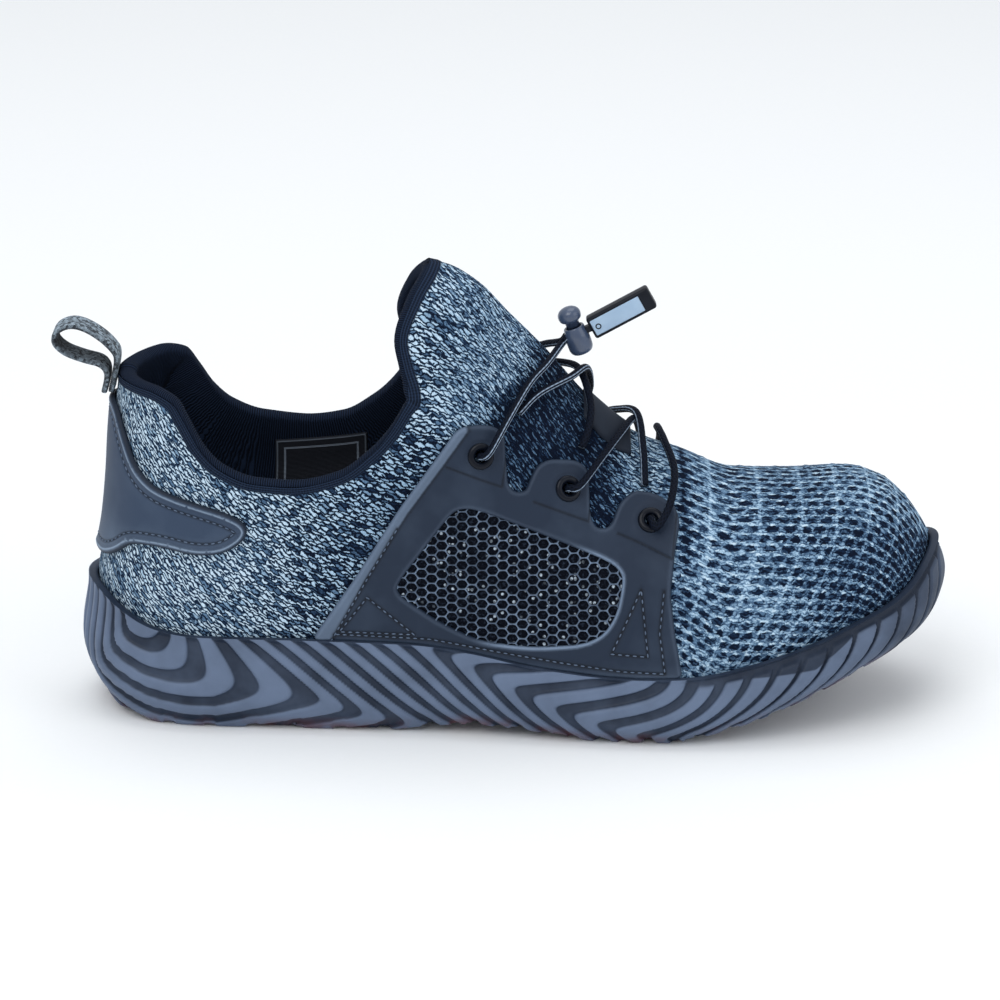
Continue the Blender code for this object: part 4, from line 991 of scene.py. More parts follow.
@dataclass(frozen=True)
class Knit:
    """Blue-grey knit of two yarns: slanted strokes at the rear, loops on tongue and toe with
    painted shade in their openings and painted highlights above them.
    """

    night: Colour = tone(6, 17, 36)
    dark: Colour = tone(22, 42, 68)
    middle: Colour = tone(88, 118, 148)
    light: Colour = tone(160, 190, 214)
    bright: Colour = tone(200, 222, 238)
    lining: Colour = tone(44, 60, 86)
    stroke_length: float = 0.0035
    stroke_width: float = 0.00132

    def strokes(self, g: Graph, u: Signal, v: Signal) -> Signal:
        """Stitches in rows: each a rounded pale stroke with a dark gap round it.

        Args:
            g: Nodes of the material.
            u: First flat coordinate.
            v: Second flat coordinate.

        Returns:
            Height of the yarn, from about 0 to 1.
        """
        warp = (g.noise(g.vector(u, v), 380.0, 4.0) - 0.5) * 0.0044
        across = (v + warp) / self.stroke_width
        row = across.whole()
        lone = g.chance(g.vector(row, 1.0, 4.0))
        along = (u + warp * 1.4) / self.stroke_length + row * 0.5 + lone * 0.22
        own = g.chance(g.vector(along.whole(), row, 3.0))
        round_over = g.spot(along.part() - 0.5, across.part() - 0.5, 0.47, 0.37)
        lit = own.rise(0.02, 0.5)
        return round_over * (lit * 0.46 + 0.36) + lit * 0.12 + 0.04

    def loops(self, g: Graph, column: Signal, row: Signal, toe: Signal) -> Signal:
        """Openings in staggered rows, darkened as painted shade, a painted highlight on the loop
        above each, and a pale wale now and then.

        Args:
            g: Nodes of the material.
            column: Column of the knit.
            row: Row of the knit.
            toe: 1 on the toe.

        Returns:
            Height of the yarn, from about 0 to 1.
        """
        wobble = g.noise(g.vector(column, row), 1.9, 3.0) - 0.5
        column = column + wobble * 0.55
        row = row - wobble * 0.6
        shifted = column + (row.whole() * 0.5).part()
        ragged = (g.noise(g.vector(column, row), 4.6, 2.0) - 0.5) * 0.55
        cell, rise = shifted.part() - 0.5 + ragged, row.part() - 0.5 - ragged
        own = g.chance(g.vector(shifted.whole(), row.whole(), 7.0))
        # Painted shade darkens every hole and a painted highlight pales the loop above it.
        shaded_opening = g.spot(cell, rise - 0.05, 0.42, 0.35) * (own * 0.55 + 0.6)
        knot_highlight = g.spot(cell + 0.05, rise + 0.42, 0.24, 0.16)
        knot_highlight = knot_highlight + g.spot(cell + 0.05, rise - 0.58, 0.24, 0.16)
        wale = ((column * 0.4).part() - 0.5).size().rise(0.07, 0.02) * toe
        return 0.53 - shaded_opening * (1.0 - wale * 0.6) * 0.42 + knot_highlight * (own * 0.22 + 0.2) + wale * 0.17

    def material(self) -> Material:
        """Builds the material; it reads flat, column, row, zone, shade, rim and walk.

        Returns:
            The material.
        """
        g = Graph("blue_grey_knit")
        u, v = g.flat()
        column, row = g.mark("column"), g.mark("row")
        zone, shade = g.mark("zone"), g.mark("shade")
        toe = zone.rise(0.6, 0.9)
        rear = self.strokes(g, u, v)
        front = self.loops(g, column, row, toe)
        fibre = g.noise(g.vector(u, v), 2100.0, 2.0)
        height = rear * (1.0 - zone) + front * zone
        value = height + (fibre - 0.5) * 0.42 + shade + (rear - 0.42) * zone * 0.34
        stops = ((0.06, self.night), (0.26, self.dark), (0.52, self.middle), (0.78, self.light))
        colour = g.ramp(value, (*stops, (1.0, self.bright)))
        walk, rim = g.mark("walk"), g.mark("rim")
        band = rim.rise(0.0044, 0.0038)
        ribs = (rim / 0.0008).wave() * 0.5 + 0.5
        dots = (walk / 0.0009).wave() * 0.5 + 0.5
        share = ribs * 0.55 + dots * 0.25 + fibre * 0.3 - 0.12
        cloth = g.blend(share, tone(9, 15, 27), self.lining)
        colour = g.blend(band, colour, cloth)
        height = height * (1.0 - band) + ribs * band * 0.6 + fibre * 0.25
        return g.dress(colour, 0.92, height, 0.0006, Specular_IOR_Level=0.12)


@dataclass(frozen=True)
class RibbedLining:
    """Dark lining with fine ribs square to the collar's edge."""

    valley: Colour = tone(7, 11, 21)
    crest: Colour = tone(34, 48, 72)
    pitch: float = 0.00078

    def material(self) -> Material:
        """Builds the material; it reads the flat coordinates.

        Returns:
            The material.
        """
        g = Graph("ribbed_lining")
        u, v = g.flat()
        ribs = (u / self.pitch).wave() * 0.5 + 0.5
        fibre = g.noise(g.vector(u, v), 1900.0, 2.0)
        colour = g.blend(ribs * 0.75 + fibre * 0.3 - 0.1, self.valley, self.crest)
        return g.dress(colour, 0.94, ribs + fibre * 0.4, 0.00028, Specular_IOR_Level=0.12)


@dataclass(frozen=True)
class SmoothSynthetic:
    """Matt coated fabric of the overlays, with painted highlights on its edges and bevels and a
    dark seam.
    """

    name: str = "navy_synthetic"
    face: Colour = tone(30, 42, 60)
    # pale is the colour of the painted highlights.
    pale: Colour = tone(118, 136, 160)
    dark: Colour = tone(12, 18, 28)

    def material(self) -> Material:
        """Builds the material; it reads the painted highlight mark pale and the mark seam.

        Returns:
            The material.
        """
        g = Graph(self.name)
        x, y, z = g.place()
        spot = g.vector(x, y, z)
        cloud = g.noise(spot, 45.0, 3.0)
        grain = g.noise(spot, 3200.0, 1.0)
        pale, seam = g.mark("pale"), g.mark("seam")
        # Painted highlight: the pale mark lays the pale colour on bevels, rounded edges and rims.
        colour = g.blend(((cloud - 0.5) * 0.3 + pale).most(0.0), self.face, self.pale)
        colour = g.blend(seam, colour, self.dark)
        rough = 0.48 + cloud * 0.14 + grain * 0.05
        return g.dress(colour, rough, grain * 0.6 + cloud * 0.4, 0.00005, Specular_IOR_Level=0.24)


@dataclass(frozen=True)
class WindowNet:
    """Dark net behind the honeycomb, with painted glints."""

    ground: Colour = tone(5, 10, 22)
    thread: Colour = tone(58, 70, 88)
    # Colour of the painted glints.
    painted_glint: Colour = tone(205, 220, 234)
    pitch: float = 0.0013

    def material(self) -> Material:
        """Builds the material; it reads the flat coordinates.

        Returns:
            The material.
        """
        g = Graph("dark_net")
        u, v = g.flat()
        across, up = u / self.pitch, v / self.pitch
        chance = g.chance(g.vector(across.whole(), up.whole(), 1.0))
        dot = g.spot(across.part() - 0.5, up.part() - 0.5, 0.42, 0.42)
        cloud = g.noise(g.vector(u, v), 900.0, 2.0)
        colour = g.blend(cloud.rise(0.5, 0.75) * 0.5, self.ground, self.thread)
        # Painted glints: bright dots on a few cells stand in for reflections.
        painted_glint = dot * chance.rise(0.92, 0.97) * (cloud.rise(0.35, 0.6) * 0.8 + 0.2)
        colour = g.blend(painted_glint, colour, self.painted_glint)
        return g.dress(colour, 0.6, cloud + dot * 0.5, 0.0003, Specular_IOR_Level=0.08)


@dataclass(frozen=True)
class Lattice:
    """Moulded honeycomb: pale on its top, with painted shade making it nearly black down in its
    holes.
    """

    low: Colour = tone(66, 80, 100)
    high: Colour = tone(112, 130, 154)
    # deep is the colour of the painted shade in the holes.
    deep: Colour = tone(5, 9, 16)

    def material(self) -> Material:
        """Builds the material; it reads the mark deep, which paints shade down in the holes.

        Returns:
            The material.
        """
        g = Graph("lattice_rubber")
        x, y, z = g.place()
        cloud = g.noise(g.vector(x, y, z), 160.0, 2.0)
        colour = g.blend(cloud.rise(0.3, 0.7), self.low, self.high)
        colour = g.blend(g.mark("deep"), colour, self.deep)
        return g.dress(colour, 0.5, cloud, 0.00005, Specular_IOR_Level=0.3)


@dataclass(frozen=True)
class PlainFinish:
    """A finish of one colour with soft clouds and fine grain."""

    name: str
    low: Colour
    high: Colour
    rough: float
    grain_size: float = 0.0004
    grain_depth: float = 0.00003
    coat: float = 0.0
    shine: float = 0.3

    def material(self) -> Material:
        """Builds the material from Object coordinates.

        Returns:
            The material.
        """
        g = Graph(self.name)
        x, y, z = g.place()
        spot = g.vector(x, y, z)
        cloud = g.noise(spot, 140.0, 3.0)
        grain = g.noise(spot, 1.0 / self.grain_size, 1.0)
        colour = g.blend(cloud, self.low, self.high)
        rough = cloud * 0.12 + (self.rough - 0.06)
        return g.dress(
            colour, rough, grain, self.grain_depth, Coat_Weight=self.coat,
            Specular_IOR_Level=self.shine,
        )


@dataclass(frozen=True)
class Braid:
    """Braided cord: two sets of yarns that cross, with one pale tracer along it."""

    name: str = "black_cord"
    ground: Colour = tone(2, 4, 9)
    yarn: Colour = tone(16, 23, 38)
    tracer: Colour = tone(150, 168, 190)
    round_length: float = 0.00817

    def material(self) -> Material:
        """Builds the material; it reads the flat coordinates round and along the cord.

        Returns:
            The material.
        """
        g = Graph(self.name)
        around, along = g.flat()
        turn = around / self.round_length
        rows = along / 0.0021
        first, second = (turn * 6.0 + rows).wave(), (turn * 6.0 - rows).wave()
        yarn = first.most(second) * 0.5 + 0.5
        fibre = g.noise(g.vector(around, along), 2600.0, 2.0)
        colour = g.blend(yarn * 0.7 + fibre * 0.3, self.ground, self.yarn)
        tracer = ((turn - 0.53).size() - 0.062).size()
        colour = g.blend(tracer.rise(0.034, 0.01) * (yarn * 0.5 + 0.5), colour, self.tracer)
        return g.dress(colour, 0.6, yarn + fibre * 0.3, 0.00018, Specular_IOR_Level=0.08)


@dataclass(frozen=True)
class Webbing:
    """Mottled grey strap: woven across, pale and dark yarns outside and dark inside."""

    dark: Colour = tone(12, 16, 26)
    light: Colour = tone(178, 196, 210)

    def material(self) -> Material:
        """Builds the material; it reads flat and the mark outside.

        Returns:
            The material.
        """
        g = Graph("grey_webbing")
        around, along = g.flat()
        across, up = around / 0.001, along / 0.0008
        column = across.whole()
        chance = g.chance(g.vector(column, (up + (column * 0.5).part()).whole(), 5.0))
        hump = (across.wave() * (up + 0.25).wave()) * 0.5 + 0.5
        outside = g.mark("outside")
        value = (chance * 0.85 + hump * 0.3 - 0.16).most(0.0) * (outside * 0.9 + 0.1)
        colour = g.blend(value, self.dark, self.light)
        return g.dress(colour, 0.9, hump, 0.0003)


@dataclass(frozen=True)
class LabelPatch:
    """Bare woven patch with a pale double frame."""

    wide: float
    tall: float
    cloth: Colour = tone(10, 17, 31)
    frame: Colour = tone(140, 152, 168)

    def material(self) -> Material:
        """Builds the material; flat runs from one corner of the patch, in metres.

        Returns:
            The material.
        """
        g = Graph("bare_label")
        u, v = g.flat()

        def line(inset: float, half: float) -> Signal:
            """A frame line at an inset from the patch's edge.

            Args:
                inset: Distance from the edge.
                half: Half its width.

            Returns:
                1 on the line.
            """
            side = (u - self.wide / 2).size() - (self.wide / 2 - inset)
            rise = (v - self.tall / 2).size() - (self.tall / 2 - inset)
            return side.most(rise).size().rise(half * 1.4, half * 0.6)

        rows = (v / 0.0005).wave() * 0.5 + 0.5
        lines = (line(0.0007, 0.0003) * 0.55).most(line(0.0036, 0.00036))
        colour = g.blend(lines * (rows * 0.3 + 0.7), self.cloth, self.frame)
        return g.dress(colour, 0.8, rows + lines, 0.0001)


def dressed(piece: Piece, material: Material) -> Piece:
    """Gives a piece its only material.

    Args:
        piece: The piece.
        material: Its material.

    Returns:
        The piece.
    """
    piece.data.materials.clear()
    piece.data.materials.append(material)
    return piece


@dataclass
class Sole:
    """Ribbed sole: its two side walls, the lugged tread and the cup, as one closed form.

    Lengths are in metres and places are shares of the sole's length.
    """

    rib_depth: float = 0.0018
    rib_pitch: float = 0.009
    rib_top: float = 0.21
    rib_foot: float = 0.34
    rib_focus: float = 0.118
    ribs_to_ball: float = 11.3
    toe_ribs_from: float = 0.667
    toe_rib_run: float = 0.43
    round_level: float = 0.45
    lug_first: float = 0.1
    lug_last: float = 0.95
    lug_pitch: float = 0.015
    lug_depth: float = 0.0022
    lug_wave: float = 0.00433
    # Painted light of the cup and the tread, on the scale of the ribs' painted light.
    cup_light_paint: float = 0.25
    tread_light_paint: float = 0.4
    columns: int = 590
    levels: int = 58
    tread_rows: int = 26

    # share of the lip's width, drop below its top
    lip_section = ((0.1, 0.0001), (0.55, -0.0001), (0.92, 0.0003), (1.0, 0.001))
    # along, millimetres under the lip that stay plain
    plain_rows = ((0.7, 2.0), (0.76, 4.0), (0.84, 8.5), (0.88, 4.5), (0.91, 0.0))

    def stations(self) -> Array:
        """Stations from heel to toe, evenly spaced along the edge.

        Returns:
            The stations.
        """
        outer, inner = LAST.halves(LAST.sole_loop)
        x = crowded(outer[0, 0], outer[-1, 0], 900)
        half = (np.interp(x, *outer.T) - np.interp(x, *inner.T)) / 2
        run = run_length(np.stack([x, half], 1))
        return np.interp(np.linspace(0, run[-1], self.columns), run, x)

    def edge(self, flank: Flank) -> tuple[Array, Array, Array]:
        """Points, inward directions and run of one half of the outline.

        Args:
            flank: Side of the shoe.

        Returns:
            Points, inward directions and run.
        """
        loop = np.hstack([LAST.sole_loop, beside(LAST.sole_loop, True)])
        half = LAST.halves(loop)[flank.half]
        return half[:, :2], half[:, 2:], run_length(half[:, :2])

    def edge_at(self, flank: Flank, along: Array) -> tuple[Array, Array, Array]:
        """Points, inward directions and reaches of one side's outline at stations.

        Args:
            flank: Side of the shoe.
            along: Stations from the sole's back end in metres.

        Returns:
            Points, inward directions and reaches.
        """
        points, inward, run = self.edge(flank)
        reach = np.interp(along, points[:, 0], run)
        place, towards = (
            np.stack([np.interp(reach, run, values[:, k]) for k in (0, 1)], -1)
            for values in (points, inward)
        )
        return place, unit(towards), reach

    @staticmethod
    def soft_max(a: Array, b: Array, sharp: float = 3.2) -> Array:
        """The larger of two fields, rounded where they cross."""
        return np.logaddexp(a * sharp, b * sharp) / sharp

    def phase(self, reach: Array, level: Array, flank: Flank) -> Array:
        """Number of the rib at a place on the side; whole numbers are the middles of ribs.

        Formula: the softened largest of three fields at the heel, which count ribs ahead of,
        under and behind a focus, and of two at the toe; the lower of heel and toe holds.

        Args:
            reach: Distances round the edge from the heel.
            level: Shares of the wall's height, from its foot to the lip.
            flank: Side of the shoe.

        Returns:
            Number of the rib.
        """
        points, _, run = self.edge(flank)
        size, pitch = LAST.length, self.rib_pitch
        along = np.interp(reach, run, points[:, 0])
        depth = (LAST.lip(along) - LAST.tread(along)) * (1 - level)
        focus = self.rib_focus * size
        leaned = np.maximum(along - 1.25 * depth, focus + (along - focus) / (1 + depth / 0.018))
        tilt = 0.24 * np.maximum(along - focus - 0.012, 0)
        under = (depth + tilt) / (0.83 * pitch) - 1.58
        behind = (0.1 * size - reach) / (0.56 * pitch)
        heel = self.soft_max(self.soft_max((leaned - focus) / pitch, under, 2.4), behind)
        toe = self.toe_ribs_from * size
        toe_run = np.interp(toe, points[:, 0], run)
        rest = (reach - toe_run) / (run[-1] - toe_run)
        walked = np.where(along < toe, along, toe + rest * self.toe_rib_run * size)
        front = (walked + depth**2 / (0.056 * size) - 0.63 * size) / (1.1 * pitch)
        low = (depth + 0.25 * (along - 0.6 * size)) / (0.83 * pitch)
        return -self.soft_max(-heel, -(self.soft_max(front, low) + self.ribs_to_ball))

    def lug_cut(self, along: Array) -> Array:
        """Depth cut into the tread by its cross grooves, with sloping sides.

        Args:
            along: Stations from the sole's back end in metres.

        Returns:
            Depths in metres.
        """
        first, last = self.lug_first * LAST.length, self.lug_last * LAST.length
        pitch = (last - first) / round((last - first) / self.lug_pitch)
        near = np.abs((along - first) / pitch - np.round((along - first) / pitch)) * 2
        inside = (along > first - pitch / 2) & (along < last + pitch / 2)
        return self.lug_depth * (1 - ease((near - 0.2) / 0.16)) * inside

    def wall(self, flank: Flank, along: Array) -> tuple[Array, Array]:
        """One side wall as rows from the tread's edge to the lip, and the painted light on its
        ribs.

        Formula: the outline moved inwards by a quarter round at its foot, a lean towards the
        lip, and a cut where the phase is away from a whole number.

        Args:
            flank: Side of the shoe.
            along: Stations from the sole's back end in metres.

        Returns:
            Rows of points, and the painted light on the ribs from 0 to 1: pale on their tops, dark
            as painted shade in the grooves.
        """
        place, towards, reach = self.edge_at(flank, along)
        share = along / LAST.length
        level = np.linspace(0, 1, self.levels)[:, None]
        level = 0.35 * level + 0.65 * (1 - np.cos(level * math.pi)) / 2
        phase = self.phase(reach + 0 * level, level + 0 * reach, flank)
        wider = np.clip((share - 0.7) / 0.13, 0, 1)
        off = np.abs(phase - np.round(phase)) - self.rib_top - 0.15 * wider
        rib = 1 - ease(off / (self.rib_foot - self.rib_top - 0.05 * wider))
        below = (level - 1) * (LAST.lip(along) - LAST.tread(along))
        rib = rib * (1 - ease((share - 0.66) / 0.08) * ease((below + 0.0042) / 0.0018))
        smooth = np.interp(share, *np.transpose(self.plain_rows)) * MM
        # Painted light: pale on the rib tops, dark as painted shade in the grooves, none just under
        # the lip at the toe.
        rib_light_paint = rib * (1 - ease((share - 0.7) / 0.08) * ease((below + smooth) / 0.0016))
        cut = (1 - rib) * self.rib_depth * np.clip((1 - level) / 0.06, 0, 1)
        turn = np.clip(level / self.round_level, 0, 1)
        lean = ease((level - self.round_level) / (1 - self.round_level))
        inset = LAST.edge_round * (1 - np.sin(turn * math.pi / 2)) ** 1.2 + LAST.lip_inset * lean
        flat = place + towards * (inset + cut)[..., None]
        low = LAST.tread(place[..., 0]) + 0.35 * self.lug_cut(along) * (1 - level) ** 6
        height = low + (LAST.lip(place[..., 0]) - low) * level
        return np.concatenate([flat, height[..., None]], -1), rib_light_paint

    def cup(self, flank: Flank, along: Array) -> Array:
        """Rows of one side from the lip's top down to the bed.

        Args:
            flank: Side of the shoe.
            along: Stations from the sole's back end in metres.

        Returns:
            Rows of points.
        """
        edge, towards, _ = self.edge_at(flank, along)
        lip = LAST.lip(along)
        rows = [
            np.column_stack([edge + towards * (LAST.lip_inset + LAST.lip_wall * part), lip - drop])
            for part, drop in self.lip_section
        ]
        rim = edge + towards * (LAST.lip_inset + LAST.lip_wall)
        bed = LAST.bed(rim[:, 0])
        rows += [np.column_stack([rim, lip * (1 - s) + bed * s]) for s in (0.45, 1.0)]
        return np.array(rows)

    def build(self, rubber: Material) -> Piece:
        """Builds the sole.

        Formula: rings across the shoe at every station, each running up one wall, over the lip,
        down into the cup, across the bed and back by the other wall and the tread.

        Args:
            rubber: Finish of the piece.

        Returns:
            The piece.
        """
        along = self.stations()
        (first, first_light_paint), (second, second_light_paint) = (self.wall(f, along) for f in Flank)
        cups = [self.cup(flank, along) for flank in Flank]
        share = np.linspace(0, 1, self.tread_rows)[1:-1, None, None]
        floor = LAST.tread(along)
        low, high = (np.column_stack([wall[0][:, :2], floor]) for wall in (first, second))
        tread = low * (1 - share) + high * share
        ends = np.clip(np.minimum(along, LAST.length - along) / (0.1 * LAST.length), 0, 1)
        tread[..., 0] += self.lug_wave * ends * (np.cos(2 * math.pi * share[..., 0]) - 1)
        tread[..., 2] += self.lug_cut(along) * np.clip(ends * 3, 0, 1)
        rings = np.concatenate([first, cups[0], cups[1][::-1], second[::-1], tread[::-1]])
        plain = np.full(cups[0].shape[:2], self.cup_light_paint)
        under = np.full(tread.shape[:2], self.tread_light_paint)
        # The rib mark carries the painted light: pale on rib tops, dark as painted shade in
        # grooves.
        rib = np.concatenate([first_light_paint, plain, plain, second_light_paint[::-1], under])
        points = LAST.world(rings.transpose(1, 0, 2))
        x, z = points[..., 0] + LAST.heel_seat, points[..., 2]
        part = x / LAST.length
        shade = 0.16 * ease((part - 0.76) / 0.1) + 0.5 * ease((part - 0.895) / 0.05)
        shade = shade + 0.06 * noise_field(points[..., 0], z, 0.04, 3)
        low_down = 1 - ease((z - np.interp(x, along, floor)) / 0.006)
        marks = {"rib": rib.T, "low": low_down, "shade": shade}
        surface = gridded(points, None, marks, closed=True)
        sole = dressed(surface.make("moulded_sole", weld=WELD, outward=True), rubber)
        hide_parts("sole")
        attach(sole, "shoe")
        log.info("sole: %d points", len(surface.points))
        return sole


@dataclass
class Insole:
    """Loose insole: a thin foam with a raised soft rim."""

    thickness: float = 0.004
    rim: float = 0.0015
    inset: float = 0.0091

    def build(self, cloth: Material) -> Piece:
        """Builds the insole from stations by a rounded section.

        Args:
            cloth: Finish of the lining.

        Returns:
            The piece.
        """
        loop = LAST.sole_loop + beside(LAST.sole_loop, True) * self.inset
        outer, inner = LAST.halves(loop)
        x = crowded(outer[0, 0], outer[-1, 0], 160)
        left, right = np.interp(x, *outer.T), np.interp(x, *inner.T)
        left[[0, -1]] = right[[0, -1]] = outer[[0, -1], 1]
        across = np.concatenate([[0, 1], 1 - 0.5 * (1 - np.cos(np.linspace(0, math.pi, 40)))])
        rise = np.concatenate([[0.0, 0.0], np.ones(40)])
        top = np.abs(2 * across - 1) ** 6 * (rise > 0)
        width = np.clip((right - left) / (0.4 * LAST.width), 0, 1)
        y = left[:, None] + (right - left)[:, None] * across
        height = (LAST.bed(x) + LAST.gap)[:, None] + self.thickness * rise
        height = height + self.rim * width[:, None] * top
        surface = gridded(LAST.world(np.stack([x[:, None] + 0 * y, y, height], -1)), closed=True)
        piece = dressed(surface.make("foot_bed", weld=1e-5, outward=True), cloth)
        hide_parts("insole")
        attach(piece, "shoe")
        return piece


@dataclass
class Upper:
    """Knitted bootie: the outer skin with its rolled rim, and the lining inside.

    Lengths are in metres; levels and places are shares of the tongue's height and the length.
    """

    corner: float = 0.67
    edge_drop: float = 0.0016
    rear_columns: int = 330
    rear_rows: int = 88
    front_rows: int = 215
    front_columns: int = 262
    roll: float = 0.0018
    band: float = 0.0034
    rim_from: float = 0.735
    slant_end: float = 0.105
    join_from: float = 0.38

    # reach share, height share, turn in degrees, length mm, width mm, depth mm (below 0: a trough)
    folds = (
        (0.3, 0.5, 55, 26, 3.4, -0.55), (0.27, 0.53, 48, 22, 3.6, 0.4),
        (0.245, 0.4, 30, 20, 4.0, -0.35), (0.345, 0.56, 60, 18, 3.0, -0.45),
        (0.12, 0.3, 15, 26, 3.5, 0.3), (0.4, 0.7, 70, 20, 4.0, 0.45),
        (0.44, 0.8, 40, 20, 4.5, 0.4), (0.43, 0.86, 30, 18, 3.5, -0.35),
    )

    @staticmethod
    def grid(along: Array, height: Array, side: Array, reach: Array, middle: float) -> dict:
        """The skin at a grid of stations and heights, with its outward directions.

        Args:
            along: Stations from the sole's back end in metres.
            height: Heights in metres.
            side: Below zero on the outer side, else the inner side.
            reach: Distances round the edge from the heel, below zero on the outer side.
            middle: Station of the point that the directions turn away from.

        Returns:
            Points, outward directions and places, by name.
        """
        points = LAST.wall_point(along, height, side)
        outward = grid_normals(points, np.array([middle, 0.0, 0.05]))
        return {"points": points, "outward": outward, "along": along, "reach": reach,
                "height": height, "side": side}

    def rear(self) -> dict[str, Array]:
        """Grid of the part behind the tongue's foot: rows up, columns round the heel.

        Returns:
            The grid.
        """
        foot = LAST.tongue_foot * LAST.length
        half, run = LAST.upper_halves[0], LAST.upper_runs[0]
        tail = np.linspace(0, np.interp(foot, half[:, 0], run), self.rear_columns // 2)
        stations = np.interp(tail, run, half[:, 0])
        stations[-1] = foot
        along = np.concatenate([stations[:0:-1], stations])
        side = np.concatenate([-np.ones(len(tail) - 1), np.ones(len(tail))])
        low = LAST.bed(along) + 2 * LAST.gap
        high = LAST.collar_height(along, side) - self.edge_drop
        height = low + (high - low) * np.linspace(0, 1, self.rear_rows)[:, None]
        level = 0 * height
        reach = np.concatenate([-tail[:0:-1], tail]) + level
        return self.grid(along + level, height, side + level, reach, 0.09)

    def front(self) -> dict[str, Array]:
        """Grid from the tongue's edge to the toe: rows are stations, columns go over the foot.

        Formula: a station is the tongue's edge at its height, mixed with the tip by the row's
        share; height and station follow from each other, so they are worked out in rounds.

        Returns:
            The grid, with each row's share of the way to the tip.
        """
        foot, tip = LAST.tongue_foot * LAST.length, LAST.upper_loop[:, 0].max()
        share = (1 - (1 - np.linspace(0, 1, self.front_rows)) ** 1.25)[:, None]
        half = self.front_columns // 2
        climb = np.interp(np.linspace(0, 1, half), [0, 0.08, 0.6, 1], [-1, 0, self.corner, 1.0])
        climb[-30:] = 1 - (1 - climb[-30]) * (np.linspace(1, 0, 30)) ** 1.6
        rise = np.concatenate([climb, climb[-2::-1]])[None, :]
        side = np.concatenate([-np.ones(len(climb)), np.ones(len(climb) - 1)])
        rise = np.where(share < 1, rise, np.minimum(rise, 0.965))
        x = foot * (1 - share) + tip * share + 0 * rise
        for _ in range(12):
            low = LAST.lip(x)
            under = low - LAST.bed(x) - 2 * LAST.gap
            height = low + np.where(rise < 0, under, LAST.top(x) - low) * rise
            drop = self.edge_drop * ease((height / LAST.tongue - 0.73) / 0.06)
            x = (LAST.tongue_edge(height) + drop) * (1 - share) + tip * share
        reach = np.interp(x, LAST.upper_halves[0][:, 0], LAST.upper_runs[0])
        return {**self.grid(x, height, side + 0 * x, reach, 0.14), "share": share + 0 * x}

    @staticmethod
    def crown_run(along: Array) -> Array:
        """Distance walked along the smoothed crown line up to a station.

        Args:
            along: Stations from the sole's back end in metres.

        Returns:
            Distances in metres.
        """
        x = np.linspace(0, LAST.length, 600)
        height = np.convolve(np.pad(LAST.top(x), 20, mode="edge"), np.ones(41) / 41, "valid")
        return np.interp(along, x, run_length(np.stack([x, height], 1)))

    def crease(self, reach: Array, height: Array) -> Array:
        """Soft troughs and ridges: bell-shaped across and along each fold's own line.

        Args:
            reach: Distances round the edge from the heel, below zero on the outer side.
            height: Heights in metres.

        Returns:
            Lifts in metres, below zero in troughs.
        """
        total = np.zeros(reach.shape)
        for at, up, turn, long, wide, deep in self.folds:
            dx, dz = np.abs(reach) - at * LAST.length, height - up * LAST.tongue
            cos, sin = math.cos(math.radians(turn)), math.sin(math.radians(turn))
            ahead, across = dx * cos + dz * sin, dz * cos - dx * sin
            total += deep * MM * bell(across, wide * MM) * bell(ahead, long * MM / 2)
        return total

    def slanted(self, reach: Array, height: Array) -> Array:
        """Coordinates along and across the rear's stitches.

        Formula: a stitch row falls forward by 1.15 at the heel and 0.25 beside the saddle, so the
        coordinate across it is the height plus the integral of that slope, and the coordinate
        along it is the length of the row.

        Args:
            reach: Distances round the edge from the heel, below zero on the outer side.
            height: Heights in metres.

        Returns:
            Both coordinates in the last axis.
        """
        far = np.linspace(0, 0.2, 400)
        slope = 1.15 - 0.9 * np.clip(far / self.slant_end, 0, 1)
        slope, step = (slope[1:] + slope[:-1]) / 2, np.diff(far)
        fall, length = (np.append(0, np.cumsum(s * step)) for s in (slope, np.hypot(1, slope)))
        out = np.abs(reach)
        return np.stack([np.interp(out, far, length), height + np.interp(out, far, fall)], -1)

    def front_marks(self, grid: dict[str, Array], share: Array, up: Array) -> tuple:
        """Column, row, zone and flat coordinates of the knit on the tongue and toe.

        Formula: columns count along the crown and lean forward down the side, rows count over
        the foot from the crown. The flat coordinates start as the rear's and pass over to the
        distances along and from the crown.

        Args:
            grid: Points and places of a grid, by name.
            share: Shares of the sole's length.
            up: Shares of the height from lip to crown.

        Returns:
            Column, row, zone and flat coordinates.
        """
        arcs = np.linalg.norm(np.diff(grid["points"], axis=1), axis=-1)
        run = np.concatenate([np.zeros((len(arcs), 1)), np.cumsum(arcs, axis=1)], 1)
        middle = run.shape[1] // 2
        from_crown = np.abs(run - run[:, middle : middle + 1])
        crown = self.crown_run(grid["along"])
        lean = 0.024 * ease((share - 0.55) / 0.3) * (1 - (1 - np.clip(up, 0, 1)) ** 2.2)
        places = np.linspace(0, 0.5, 500)
        pitch = np.interp(places, [0.15, 0.2, 0.235], [3.1, 3.5, 4.6]) * MM
        counted = np.cumsum(np.diff(places, prepend=0) / pitch)
        column = np.interp(crown - lean, places, counted)
        row = from_crown / (np.interp(share, [0.4, 0.6, 0.72, 1.0], [2.7, 3.1, 3.8, 3.9]) * MM)
        zone = 0.46 * ease((share - 0.385) / 0.07) + 0.5 * ease((share - 0.655) / 0.04)
        rear = self.slanted(grid["reach"], grid["height"])
        ahead = np.stack([crown, -from_crown], -1)
        level = grid["height"] / LAST.tongue
        near = (share < 0.42) & (level > 0.55) & (level < 0.75)
        ahead = ahead + (rear - ahead)[near].mean(0)
        mixed = 1 - ease((share - self.join_from) / 0.06)[..., None]
        return column, row, zone, rear * mixed + ahead * (1 - mixed)

